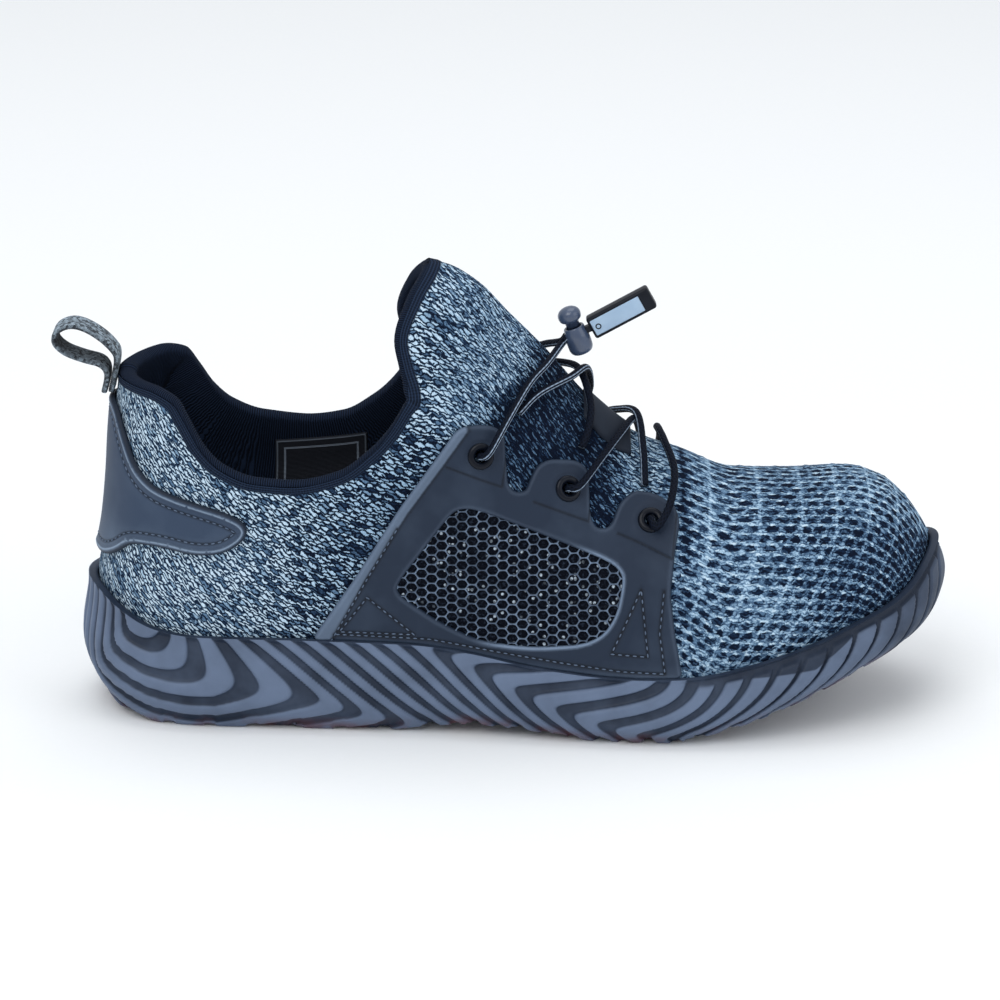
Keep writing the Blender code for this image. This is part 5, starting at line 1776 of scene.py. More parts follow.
    def shade(self, x: Array, z: Array, share: Array, up: Array) -> Array:
        """How much paler or darker than usual the knit is: soft clouds, the photo's zones and a
        painted shadow beside the lace bar.

        Args:
            x: Places along.
            z: Heights in metres.
            share: Shares of the sole's length.
            up: Shares of the height from lip to crown.

        Returns:
            Above zero where paler.
        """
        beside_saddle = ease((share - 0.2) / 0.18) * (1 - ease((share - 0.4) / 0.05))
        beside_saddle = beside_saddle * (1 - ease((up - 0.4) / 0.35))
        slant = 0.445 + 0.065 * ease((up - 0.55) / 0.45)
        vamp = ease((share - slant) / 0.025) * (1 - ease((share - 0.6) / 0.03))
        vamp = vamp * ease((up - 0.45) / 0.15)
        # Painted shadow of the lace bar: a narrow dark band beside it.
        bar_lace_shadow = bell(share - 0.693, 0.005) * ease((up - 0.5) / 0.1)
        tip = ease((share - 0.76) / 0.24) * (1 - ease((up - 0.55) / 0.45))
        clouds = 0.06 * noise_field(x, z, 0.035, 11) + 0.09 * (1 - ease((share - 0.1) / 0.22))
        return clouds - 0.26 * beside_saddle - 0.42 * vamp - 0.34 * bar_lace_shadow - 0.3 * tip

    def pattern(self, grid: dict[str, Array], front: bool) -> tuple[dict[str, Array], Array]:
        """Marks and flat coordinates of the knit at every point of a grid.

        Args:
            grid: Points and places of a grid, by name.
            front: Whether it is the front's grid.

        Returns:
            The marks and the flat coordinates.
        """
        world = LAST.world(grid["points"])
        along, height = grid["along"], grid["height"]
        x, z = world[..., 0], world[..., 2]
        share = along / LAST.length
        up = (height - LAST.lip(along)) / (LAST.top(along) - LAST.lip(along))
        if front:
            column, row, zone, flat = self.front_marks(grid, share, up)
        else:
            row, column, zone = z / MM, x / MM, np.zeros(x.shape)
            flat = self.slanted(grid["reach"], height)
        flat[..., 0] *= grid["side"]
        edge, walk = self.edge_walk(grid["points"])
        wide = np.interp(share, [0.3, 0.372, 0.39, 0.41], [1.0, 1.0, 0.85, 0.75])
        rim = edge * np.where(height > 0.72 * LAST.tongue, wide, 1.0)
        shade = self.shade(x, z, share, up)
        marks = {"column": column, "row": row, "zone": zone, "shade": shade, "walk": walk}
        return {**marks, "rim": rim}, flat

    @staticmethod
    def edge_walk(points: Array) -> tuple[Array, Array]:
        """Distance to the collar's and tongue's edge, and the distance walked along that edge.

        Args:
            points: Grid of points.

        Returns:
            Distances in metres, the second signed by the side.
        """
        foot = LAST.tongue_foot * LAST.length
        along = np.linspace(LAST.upper_loop[:, 0].min(), foot, 70)
        heights = np.linspace(float(LAST.collar(foot)), LAST.tongue, 34)
        x, y, z = np.moveaxis(points, -1, 0)
        best, walk = np.full(x.shape, np.inf), np.zeros(x.shape)
        for flank in Flank:
            sign = float(flank.value)
            collar = LAST.wall_point(along, LAST.collar_height(along, sign), sign)
            tongue = LAST.wall_point(LAST.tongue_edge(heights), heights, sign)
            close = ((y * sign >= 0) | (x < 0.03)) & (np.abs(z - 0.11) < 0.06) & (x < 0.16)
            distance, at = nearest_on(np.vstack([collar, tongue[1:]]), points[close])
            nearer = distance < best[close]
            best[close] = np.where(nearer, distance, best[close])
            walk[close] = np.where(nearer, at * sign, walk[close])
        return np.minimum(best, 0.05), walk

    @staticmethod
    def relief(marks: dict[str, Array]) -> Array:
        """Height of the toe's loops in metres: cosine cells with a raised wale every second one.

        Args:
            marks: Marks of the finish, by name.

        Returns:
            Heights in metres.
        """
        column, row = marks["column"], marks["row"]
        shifted = column + (np.floor(row) * 0.5) % 1.0
        cell = np.cos(2 * math.pi * shifted) * np.cos(2 * math.pi * row)
        wale = bell((column * 0.5) % 1.0 - 0.5, 0.07)
        return marks["zone"] * (0.0001 * cell + 0.00022 * wale)

    def skin(self, knit: Material) -> Piece:
        """The knit's outer surface: the skin lifted by its folds, its rolled rim and its loops.

        Args:
            knit: Finish of the skin.

        Returns:
            The piece.
        """
        parts = []
        for front, grid in ((False, self.rear()), (True, self.front())):
            marks, flat = self.pattern(grid, front)
            band = 1 - ease((marks["rim"] - self.band) / 0.0008)
            lift = self.crease(grid["reach"], grid["height"]) + band * 0.0005
            loops = self.relief(marks) * (1 - band)
            if front:
                lift = lift * (1 - ease((grid["share"] - 0.93) / 0.05))
                loops = loops * (1 - ease((grid["share"] - 0.95) / 0.04))
            lifted = grid["points"] + grid["outward"] * (lift + loops)[..., None]
            parts.append(gridded(LAST.world(lifted), flat, marks))
        return dressed(joined_surfaces(parts).make("knit_upper", weld=WELD), knit)

    def lining(self, cloth: Material) -> Piece:
        """Padded lining: over the rim in a half round and down the inside.

        Formula: the outer skin's rows moved inwards by a thickness that swells near the edge;
        the rim between the two edges is half an ellipse.

        Args:
            cloth: Finish of the lining.

        Returns:
            The piece.
        """
        parts = []
        angle = np.linspace(0, math.pi, 13)[:-1, None, None]
        for front, grid in ((False, self.rear()), (True, self.front())):
            points = grid["points"]
            kept = [np.unique(np.append(np.arange(0, n, 2), n - 1)) for n in points.shape[:2]]
            keep = np.ix_(*kept)
            edge, walk = self.edge_walk(points)
            near = 1 - ease(edge / LAST.pad_depth)
            thick = LAST.wall + (LAST.pad - LAST.wall) * near
            if front:
                thick = thick * np.clip((1 - grid["share"]) / 0.06, 0, 1)
            inner = (points - grid["outward"] * thick[..., None])[keep]
            outer, edge, walk = points[keep], edge[keep], walk[keep]
            level = grid["height"][keep][0] / LAST.tongue
            rim, beyond = (0, 1) if front else (-1, -2)
            bulge = unit(outer[rim] - outer[beyond]) * self.roll
            if front:
                bulge = bulge * ease((level - self.rim_from) / 0.03)[:, None]
            middle, half = (outer[rim] + inner[rim]) / 2, (outer[rim] - inner[rim]) / 2
            rounds = middle + half * np.cos(angle) + bulge * np.sin(angle)
            rim_walk = np.repeat(walk[[rim]], len(rounds), 0)
            sheet, walks, depth = (
                np.concatenate([over, down] if front else [down, over[::-1]])
                for over, down in ((rounds, inner), (rim_walk, walk), (0 * rim_walk, edge))
            )
            surface = gridded(LAST.world(sheet), np.stack([walks, depth], -1))
            if front:
                low, quads = level < self.rim_from, surface.faces[0]
                row_of, column_of = np.divmod(quads[:, 0], len(low))
                following = np.minimum(column_of + 1, len(low) - 1)
                shut = (row_of < len(rounds)) & low[column_of] & low[following]
                surface.faces = [quads[~shut]]
            parts.append(surface)
        return dressed(joined_surfaces(parts).make("collar_lining", weld=1e-5), cloth)

    def build(self, knit: Material, cloth: Material) -> list[Piece]:
        """Builds the skin and the lining.

        Args:
            knit: Finish of the skin.
            cloth: Finish of the lining.

        Returns:
            Both pieces.
        """
        skin, lining = self.skin(knit), self.lining(cloth)
        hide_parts("upper")
        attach(skin, "shoe")
        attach(lining, "shoe")
        log.info("upper: skin and lining")
        return [skin, lining]


@dataclass
class Label:
    """Bare patch sewn to the lining of the inner side."""

    left: float = 0.0048
    right: float = 0.0388
    top: float = 0.085
    tall: float = 0.0215
    slope: float = 0.098

    def build(self) -> Piece:
        """A grid laid on the inside of the inner wall.

        Returns:
            The piece.
        """
        wide = self.right - self.left
        u, v = np.meshgrid(np.linspace(0, 1, 40), np.linspace(0, 1, 26))
        height = self.top - self.tall * (1 - v) + self.slope * wide * u
        along = self.left + wide * u + LAST.heel_seat
        skin = LAST.wall_point(along, height, 1)
        near = 1 - ease((LAST.collar_height(along, 1) - height) / LAST.pad_depth)
        thick = LAST.wall + (LAST.pad - LAST.wall) * near + 0.0005
        outward = grid_normals(skin, skin.mean((0, 1)) * (1, 0, 1))
        points = LAST.world(skin - outward * thick[..., None])
        piece = gridded(points, np.stack([u * wide, v * self.tall], -1)).make("label_patch")
        cloth = piece.modifiers.new("cloth", "SOLIDIFY")
        cloth.thickness = 0.0004
        cloth.offset = 0
        dressed(piece, LabelPatch(wide, self.tall).material())
        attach(piece, "shoe")
        return piece


SADDLE = (
    (0.305, 0.0), (0.356, 0.357), (0.406, 0.513), (0.438, 0.599), (0.455, 0.643),
    (0.471, 0.684), (0.49, 0.69), (0.511, 0.683), (0.523, 0.66), (0.527, 0.56),
    (0.535, 0.543), (0.547, 0.543), (0.55, 0.558), (0.559, 0.592), (0.573, 0.602),
    (0.603, 0.592), (0.618, 0.57), (0.621, 0.48), (0.627, 0.459), (0.639, 0.455),
    (0.646, 0.466), (0.653, 0.5), (0.67, 0.519), (0.695, 0.51), (0.718, 0.489),
    (0.723, 0.464), (0.717, 0.408), (0.712, 0.33), (0.717, 0.248), (0.726, 0.0),
    (0.677, 0.0), (0.636, 0.0), (0.563, 0.0), (0.489, 0.0), (0.424, 0.0),
    (0.36, 0.0),
)
WINDOW = (
    (0.475, 0.514), (0.492, 0.512), (0.646, 0.389), (0.657, 0.368), (0.658, 0.348),
    (0.652, 0.288), (0.637, 0.244), (0.613, 0.222), (0.556, 0.212), (0.498, 0.22),
    (0.452, 0.258), (0.405, 0.318), (0.402, 0.341), (0.464, 0.504),
)
EYELETS = ((0.496, 0.624), (0.594, 0.539), (0.69, 0.463))
COUNTER = (
    (0.0, 0.704), (0.041, 0.691), (0.066, 0.638), (0.088, 0.578), (0.11, 0.545),
    (0.14, 0.526), (0.167, 0.513), (0.2, 0.496), (0.222, 0.477), (0.229, 0.455),
    (0.223, 0.43), (0.201, 0.402), (0.169, 0.396), (0.125, 0.411), (0.088, 0.408),
    (0.068, 0.375), (0.045, 0.356), (0.0, 0.352),
)
# Lines pressed into each eyelet's tab, in millimetres from the eyelet's middle
TAB_LINE = ((-11.3, -3.0), (-2.0, -6.8), (7.2, -10.6), (8.2, -3.0), (8.8, 2.8))
TRIANGLES = (
    ((0.337, 0.232), (0.369, 0.312), (0.422, 0.23)),
    ((0.679, 0.337), (0.646, 0.205), (0.687, 0.201)),
)


def rounded_corners(points: Array, radius: float, steps: int = 5) -> Array:
    """Closed outline with straight runs, its corners turned into short quadratic arcs.

    Args:
        points: Its corners.
        radius: Distance at which an arc starts.
        steps: Points of each arc.

    Returns:
        Points of the outline.
    """
    before, after = np.roll(points, 1, 0), np.roll(points, -1, 0)
    t = np.linspace(0, 1, steps)[None, :, None]
    reach_in = np.minimum(radius / np.linalg.norm(before - points, axis=1), 0.45)[:, None]
    reach_out = np.minimum(radius / np.linalg.norm(after - points, axis=1), 0.45)[:, None]
    start = points + (before - points) * reach_in
    stop = points + (after - points) * reach_out
    arc = start[:, None] * (1 - t) ** 2 + 2 * points[:, None] * t * (1 - t) + stop[:, None] * t**2
    return arc.reshape(-1, 2)


def divided(loop: Array, step: float) -> Array:
    """A closed outline divided into nearly even steps."""
    return evenly(np.vstack([loop, loop[:1]]), step)[:-1]


def triangles_within(loops: list[Array], extra: Array) -> tuple[Array, Array]:
    """Triangles inside the first loop and outside the others, through extra points.

    Args:
        loops: The outline, then its holes.
        extra: Points that the triangles should use.

    Returns:
        Corners and triangles.
    """
    points, edges = [], []
    for loop in loops:
        start, size = sum(len(p) for p in points), len(loop)
        points.append(loop)
        edges += [(start + k, start + (k + 1) % size) for k in range(size)]
    flat = np.vstack([*points, extra]) * 1000
    made = delaunay_2d_cdt([Vector(p) for p in flat.tolist()], edges, [], 1, 1e-4)
    corners = np.array([tuple(p) for p in made[0]]) / 1000
    faces = np.array([tuple(f) for f in made[2] if len(f) == 3])
    middles = corners[faces].mean(1)
    for hole in loops[1:]:
        faces = faces[~inside_loop(hole, middles)]
        middles = corners[faces].mean(1)
    return corners, faces


@dataclass
class LaidPlate:
    """A plate laid on the skin, with rounded edges, beads and pressed lines.

    Attributes:
        name: Name of the piece.
        outline: Reaches and heights in metres.
        holes: Outlines of its holes.
        thickness: Thickness in metres.
        lines: Pressed or raised lines: points, half width and depth in metres.
        step: Spacing of the inner points.
    """

    name: str
    outline: Array
    holes: list[Array]
    thickness: float = 0.0016
    lines: list[tuple[Array, float, float]] = field(default_factory=list)
    step: float = 0.0013
    edge_radius: float = 0.0011
    bead: float = 0.0
    bead_at: float = 0.0012
    base: float = 0.0006

    def height(self, points: Array) -> tuple[Array, Array]:
        """Height of the face over the skin, and the distance to the nearest edge.

        Formula: thickness times a quarter circle of the distance to the edge, plus a bell-shaped
        bead along the outline and bell-shaped lines.

        Args:
            points: Reaches and heights in metres.

        Returns:
            Heights and distances in metres.
        """
        edge = line_distance(self.outline, points, closed=True)
        for hole in self.holes:
            edge = np.minimum(edge, line_distance(hole, points, closed=True))
        turn = np.clip(edge / self.edge_radius, 0, 1)
        rise = self.thickness * (0.35 + 0.65 * np.sqrt(1 - (1 - turn) ** 2))
        rise = rise + self.bead * bell(edge - self.bead_at, 0.0005)
        for line, half, depth in self.lines:
            rise = rise + depth * bell(line_distance(line, points), half)
        return rise, edge

    def build(self, marks: dict) -> Piece:
        """Builds the closed plate.

        Args:
            marks: Functions of points and edge distance that give the finish's marks.

        Returns:
            The object.
        """
        loops = [divided(self.outline, 0.0011), *[divided(h, 0.0009) for h in self.holes]]
        low, high = self.outline.min(0), self.outline.max(0)
        grid = np.stack(np.meshgrid(*[np.arange(low[k], high[k], self.step) for k in (0, 1)]), -1)
        grid[1::2, :, 0] += self.step / 2
        extra = [grid.reshape(-1, 2)]
        for loop in loops:
            across = beside(loop, True)
            for inset in (0.25, 0.6, 1.0, 1.6, 2.1, 2.7):
                extra += [loop + across * inset * MM, loop - across * inset * MM]
        for line, half, _ in self.lines:
            path = evenly(line, 0.0008)
            extra += [path + beside(path) * half * s for s in (-1.8, -0.9, 0.0, 0.9, 1.8)]
        cloud = np.vstack(extra)
        keep = inside_loop(loops[0], cloud)
        for loop in loops:
            keep &= line_distance(loop, cloud, closed=True) > 0.00018
        for loop in loops[1:]:
            keep &= ~inside_loop(loop, cloud)
        corners, faces = triangles_within(loops, cloud[keep])
        rise, edge = self.height(corners)
        top, _ = LAST.off_skin(*corners.T, self.base + rise)
        under, _ = LAST.off_skin(*corners.T, self.base)
        size = len(corners)
        pairs = np.concatenate([faces[:, [0, 1]], faces[:, [1, 2]], faces[:, [2, 0]]]).tolist()
        known = {tuple(p) for p in pairs}
        rim = np.array([(a, b) for a, b in pairs if (b, a) not in known])
        walls = np.stack([rim[:, 1], rim[:, 0], rim[:, 0] + size, rim[:, 1] + size], 1)
        values = {k: np.tile(f(corners, edge), 2) for k, f in marks.items()}
        sides = [faces, faces[:, ::-1] + size, walls]
        return Surface(np.vstack([top, under]), sides, marks=values).make(self.name, outward=True)


@dataclass
class Stitching:
    """Short threads along seams, each a small pointed bead with few faces."""

    pitch: float = 0.0024
    length: float = 0.0016
    radius: float = 0.00025

    def along(self, line: Array, lift: float) -> Surface:
        """Stitches along a line of reaches and heights.

        Formula: six rings of six points round each stitch's own axis, the rings' radius the
        square root of 1 - s^2 where s runs from -1 to 1 along it.

        Args:
            line: Reaches and heights in metres.
            lift: Heights over the skin in metres.

        Returns:
            The stitches.
        """
        run = run_length(line)
        count = max(1, int(run[-1] / self.pitch))
        at = (np.arange(count) + 0.5) * run[-1] / count
        behind, middle, ahead = (
            [np.interp(at + shift, run, line[:, k]) for k in (0, 1)]
            for shift in (-0.0004, 0, 0.0004)
        )
        place, outward = LAST.off_skin(*middle, lift)
        heading = unit(LAST.skin(*ahead) - LAST.skin(*behind))
        across = np.cross(outward, heading)
        place, outward, heading, across = (
            v[:, None, None] for v in (place, outward, heading, across)
        )
        s, turn = np.linspace(-1, 1, 6)[:, None, None], turns(6)[:, None]
        radius = np.sqrt(np.maximum(1 - s**2, 0.0)) * self.radius
        ring = across * np.cos(turn) + outward * np.sin(turn)
        points = place + heading * s * self.length / 2 + ring * radius
        return repeated(points, 6, 6)


def repeated(points: Array, rows: int, columns: int, **more: dict) -> Surface:
    """Many small forms with the same closed grid of quads, from their points in order.

    Args:
        points: Points of every form in order.
        rows: Rings of a form.
        columns: Points of a ring.
        more: Further fields of the surface.

    Returns:
        The surface.
    """
    starts = np.arange(len(points)) * rows * columns
    faces = (grid_quads(rows, columns, True)[None] + starts[:, None, None]).reshape(-1, 4)
    return Surface(points.reshape(-1, 3), [faces], **more)


@dataclass
class Overlays:
    """Saddles with their windows and eyelets, and the heel counter.

    Attributes:
        counter_inset: Distance of the heel counter's stitches from its edge.
    """

    base: float = 0.0006
    thickness: float = 0.0016
    cell_wide: float = 0.00343
    cell_tall: float = 0.00335
    eyelet_bore: float = 0.002
    eyelet_radius: float = 0.0045
    eyelet_barrel: float = 0.0028
    flange_ring: float = 0.0058
    thread_sink: float = 0.00012
    counter_inset: float = 0.0043

    # reaches and heights in shares: the rear edge, pale with painted highlight on its bevel, then
    # the sewn lines
    rear_edge = ((0.305, 0.17), (0.356, 0.357), (0.406, 0.513), (0.438, 0.599), (0.471, 0.684))
    sewn_rows = (
        ((0.326, 0.205), (0.37, 0.357), (0.404, 0.47)),
        ((0.705, 0.334), (0.7, 0.25), (0.706, 0.165)),
        ((0.331, 0.226), (0.44, 0.221), (0.52, 0.199), (0.588, 0.182), (0.656, 0.168),
         (0.706, 0.165)),
    )

    @staticmethod
    def seats(flank: Flank) -> list[tuple[float, float]]:
        """Signed reach and height of each eyelet on a side."""
        return [(flank.value * r * LAST.length, h * LAST.tongue) for r, h in EYELETS]

    @staticmethod
    def shares(points: Rows, flank: Flank) -> Array:
        """Points given as shares, in metres on one side."""
        return np.array(points, float) * (LAST.length * flank.value, LAST.tongue)

    @staticmethod
    def window(flank: Flank) -> Array:
        """Rounded outline of a side's window."""
        return rounded_corners(LAST.on_lip(WINDOW, flank), 0.006, 7)

    @staticmethod
    def circle_on_skin(reach: float, height: float, radius: float, count: int) -> Array:
        """A circle round a place on the skin, as reaches and heights.

        Formula: the circle in the skin's tangent plane, turned into reach and height by the
        inverse of their slopes there.

        Args:
            reach: Reach of the place.
            height: Height of the place.
            radius: Radius in metres.
            count: Number of points.

        Returns:
            Reaches and heights.
        """
        step = 0.8 * MM
        by_reach = (LAST.skin(reach + step, height) - LAST.skin(reach - step, height)) / (2 * step)
        by_height = (LAST.skin(reach, height + step) - LAST.skin(reach, height - step)) / (2 * step)
        first = unit(by_reach)
        second = np.cross(unit(np.cross(by_height, by_reach)), first)
        to_flat = np.array([[by_reach @ first, by_height @ first], [0.0, by_height @ second]])
        return np.linalg.solve(to_flat, ring_profile(radius, count).T).T + (reach, height)

    def saddle(self, flank: Flank, skin: Material) -> list[Surface]:
        """Builds one saddle, and gives its stitches.

        Args:
            flank: Side of the shoe.
            skin: Finish of the overlay.

        Returns:
            The stitches.
        """
        name = flank.word
        window = self.window(flank)
        holes, pressed, rings = [window], [], []
        for reach, height in self.seats(flank):
            holes.append(self.circle_on_skin(reach, height, self.eyelet_barrel + LAST.gap, 20))
            pressed.append(np.array(TAB_LINE) * MM * (flank.value, 1) + (reach, height))
            ring = self.circle_on_skin(reach, height, self.flange_ring, 24)
            rings.append(np.vstack([ring, ring[:1]]))
        rear = self.shares(self.rear_edge, flank)
        closed = [(*triangle, triangle[0]) for triangle in TRIANGLES]
        sewn = [self.shares(line, flank) for line in (*self.sewn_rows, *closed)]
        middle = window.mean(0)

        def pale(points: Array, edge: Array) -> Array:
            """Painted highlight on the bevel along the rear edge, on the rounded edges and on the
            window's lower front rim, and paler low down.

            Args:
                points: Reaches and heights in metres.
                edge: Distances to the nearest edge.

            Returns:
                Paleness from 0 to 1.
            """
            band = 1 - ease((line_distance(rear, points) - 0.0028) / 0.0006)
            ring = bell(line_distance(window, points, closed=True) - 0.0004, 0.0005)
            facing = ease(((points - middle) @ (flank.value * 0.7, -0.7)) / 0.012)
            low = ease((0.03 - points[:, 1]) / 0.012)
            total = 0.52 * band + 0.12 * bell(edge - 0.0008, 0.0006)
            return np.clip(total + 0.95 * ring * facing + 0.3 * low, 0, 1)

        def seam(points: Array, edge: Array) -> Array:
            """Dark pressed lines: the sewn ones, those of the tabs and one along the bevel.

            Args:
                points: Reaches and heights in metres.
                edge: Distances to the nearest edge; not used.

            Returns:
                Darkness from 0 to 1.
            """
            total = 0.7 * bell(line_distance(rear, points) - 0.0036, 0.0004)
            for line in sewn:
                total = np.maximum(total, bell(line_distance(line, points), 0.0006))
            for line in pressed:
                total = np.maximum(total, 0.7 * bell(line_distance(line, points), 0.0004))
            return total

        # The last two lines before the raised one only bring points for its slope.
        lines = [
            line
            for tab, ring in zip(pressed, rings)
            for line in ((tab, 0.00035, -0.00045), (ring, 0.0007, 0.00018))
        ]
        lines += [(line, 0.0005, -0.0003) for line in sewn]
        lines += [(rear, 0.00155, 0.0), (rear, 0.0019, 0.0), (rear, 0.0024, 0.0004)]
        tabs = rounded_corners(LAST.on_lip(SADDLE, flank), 0.0026)
        plate = LaidPlate(f"overlay_{name}", tabs, holes, self.thickness, lines, bead=0.00012)
        piece = dressed(plate.build({"pale": pale, "seam": seam}), skin)
        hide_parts(f"saddle_{name}")
        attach(piece, "shoe")
        return self.stitches(sewn)

    def stitches(self, lines: list[Array]) -> list[Surface]:
        """Stitches along lines, a little sunk into the overlay's face."""
        lift = self.base + self.thickness - self.thread_sink
        return [Stitching().along(line, lift) for line in lines]

    def net(self, flank: Flank, net: Material) -> Piece:
        """Dark net behind the honeycomb.

        Args:
            flank: Side of the shoe.
            net: Finish of the net.

        Returns:
            The piece.
        """
        name, step = flank.word, 0.0016
        window = self.window(flank)
        middle = window.mean(0)
        wide = middle + (window - middle) * 1.04
        spans = [np.arange(wide[:, k].min(), wide[:, k].max(), step) for k in (0, 1)]
        grid = np.stack(np.meshgrid(*spans), -1).reshape(-1, 2)
        corners, faces = triangles_within([divided(wide, step)], grid[inside_loop(wide, grid)])
        points, _ = LAST.off_skin(*corners.T, self.base + 0.0001)
        if flank is Flank.OUTER:
            faces = faces[:, ::-1]
        piece = dressed(Surface(points, [faces], corners).make(f"net_{name}"), net)
        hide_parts(f"window_{name}")
        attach(piece, "shoe")
        return piece

    def honeycomb(self, flank: Flank, rubber: Material) -> Piece:
        """Hexagonal lattice over the window.

        Formula: centres in columns at the column pitch, every second column half a cell up; each
        cell has a ring at its hexagonal border, two round the top of its hole and one below it,
        the hole being half way between a hexagon and a circle.

        Args:
            flank: Side of the shoe.
            rubber: Finish of the piece.

        Returns:
            The piece.
        """
        name = flank.word
        window = self.window(flank)
        low, high = window.min(0) - 0.004, window.max(0) + 0.004
        size = np.array([self.cell_wide, self.cell_tall])
        counts = np.round((high - low) / size).astype(int) + 1
        column, row = np.meshgrid(np.arange(counts[0]), np.arange(counts[1]), indexing="ij")
        centres = np.stack([column, row + 0.5 * (column % 2)], -1).reshape(-1, 2) * size + low
        near = line_distance(window, centres, closed=True) < 0.0022
        centres = centres[inside_loop(window, centres) | near]
        corner = ring_profile(1.0, 12) * size * (2 / 3, 1 / math.sqrt(3))
        reach = np.where(np.arange(12) % 2, math.cos(math.pi / 6), 1.0)[:, None]
        hexes, hole = corner * reach, corner * (0.45 * reach + 0.395)
        # outline, height and painted shade of each ring
        rings = (
            (hexes, 0.001, 0.0), (hole * 1.06, 0.0011, 0.0),
            (hole, 0.00092, 0.55), (hole * 0.96, 0.0001, 1.0),
        )
        flat = np.stack([centres[:, None] + r for r, _, _ in rings], 1)
        lift, deep = (np.array([r[k] for r in rings])[:, None] + 0 * flat[..., 0] for k in (1, 2))
        points, _ = LAST.off_skin(flat[..., 0], flat[..., 1], self.base + lift)
        surface = repeated(points, len(rings), 12, marks={"deep": deep})
        if flank is Flank.INNER:
            surface.faces = [surface.faces[0][:, ::-1]]
        piece = dressed(surface.make(f"honeycomb_{name}", weld=WELD), rubber)
        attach(piece, "shoe")
        return piece

    def eyelets(self, flank: Flank, enamel: Material) -> None:
        """Rolled eyelets of one side: a rounded flange and a barrel through the saddle.

        Args:
            flank: Side of the shoe.
            enamel: Finish of the eyelets.
        """
        name = flank.word
        seat = self.base + self.thickness + LAST.gap
        bore, rim, barrel = self.eyelet_bore, self.eyelet_radius, self.eyelet_barrel
        middle, half = (bore + rim) / 2, (rim - bore) / 2
        dome = [
            (middle - half * math.cos(t), seat + 0.0011 * math.sin(t) ** 0.8)
            for t in np.linspace(0, math.pi, 14)
        ]
        foot = seat - 0.0001
        profile = [(bore, self.base), *dome, (rim, foot), (barrel, foot), (barrel, self.base),
                   (bore, self.base)]
        for number, (reach, height) in enumerate(self.seats(flank), 1):
            base, outward = LAST.off_skin(reach, height, 0.0)
            ring = turned(profile, base, outward, 40)
            piece = ring.make(f"rolled_eyelet_{name}_{number}", weld=FINE_WELD, outward=True)
            dressed(piece, enamel)
            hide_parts(f"eyelet_{name}_{number}")
            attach(piece, "shoe")

    def counter(self, skin: Material) -> list[Surface]:
        """Builds the overlay round the heel, and gives its stitches.

        Args:
            skin: Finish of the overlay.

        Returns:
            The stitches.
        """
        half = np.array(COUNTER) * (LAST.length, LAST.tongue)
        loop = np.vstack([half, (half * (-1, 1))[-2:0:-1]])
        outline = rounded_corners(loop, 0.0045, 6)
        across = beside(outline, True) * self.counter_inset
        inset = outline + across
        if not inside_loop(outline, inset).mean() > 0.5:
            inset = outline - across
        inset = inset[line_distance(outline, inset, closed=True) > self.counter_inset - 0.0002]
        inset = np.vstack([inset, inset[:1]])

        def pale(points: Array, edge: Array) -> Array:
            """Painted highlight on the raised bead a little inside the edge, and paler low down."""
            return 0.7 * bell(edge - 0.0016, 0.00026) + 0.2 * ease((0.075 - points[:, 1]) / 0.02)

        def seam(points: Array, edge: Array) -> Array:
            """Painted shade along the edge, the stitched groove and a faint dark line just inside
            the bead.

            Args:
                points: Reaches and heights in metres.
                edge: Distances to the nearest edge.

            Returns:
                Darkness from 0 to 1.
            """
            # Painted shade on the plate's edge.
            border = 0.75 * (1 - ease((edge - 0.0005) / 0.0007))
            groove = 0.9 * bell(line_distance(inset, points), 0.0005)
            return np.maximum(np.maximum(border, groove), 0.22 * bell(edge - 0.0024, 0.0004))

        lines = [(inset, 0.0005, -0.0003)]
        plate = LaidPlate(
            "heel_overlay", outline, [], self.thickness, lines, bead=0.0003, bead_at=0.0016
        )
        piece = dressed(plate.build({"pale": pale, "seam": seam}), skin)
        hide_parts("heel_counter")
        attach(piece, "shoe")
        return self.stitches([inset])

    def build(self, finishes: dict[str, Material]) -> None:
        """Builds everything laid on the upper.

        Args:
            finishes: Materials by name.
        """
        threads: list[Surface] = []
        for flank in Flank:
            threads += self.saddle(flank, finishes["synthetic"])
            self.net(flank, finishes["net"])
            self.honeycomb(flank, finishes["lattice"])
            self.eyelets(flank, finishes["enamel"])
        threads += self.counter(finishes["counter"])
        piece = joined_surfaces(threads).make("seam_threads", weld=FINE_WELD, outward=True)
        dressed(piece, finishes["thread"])
        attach(piece, "shoe")
        log.info("overlays, windows, eyelets and seams")


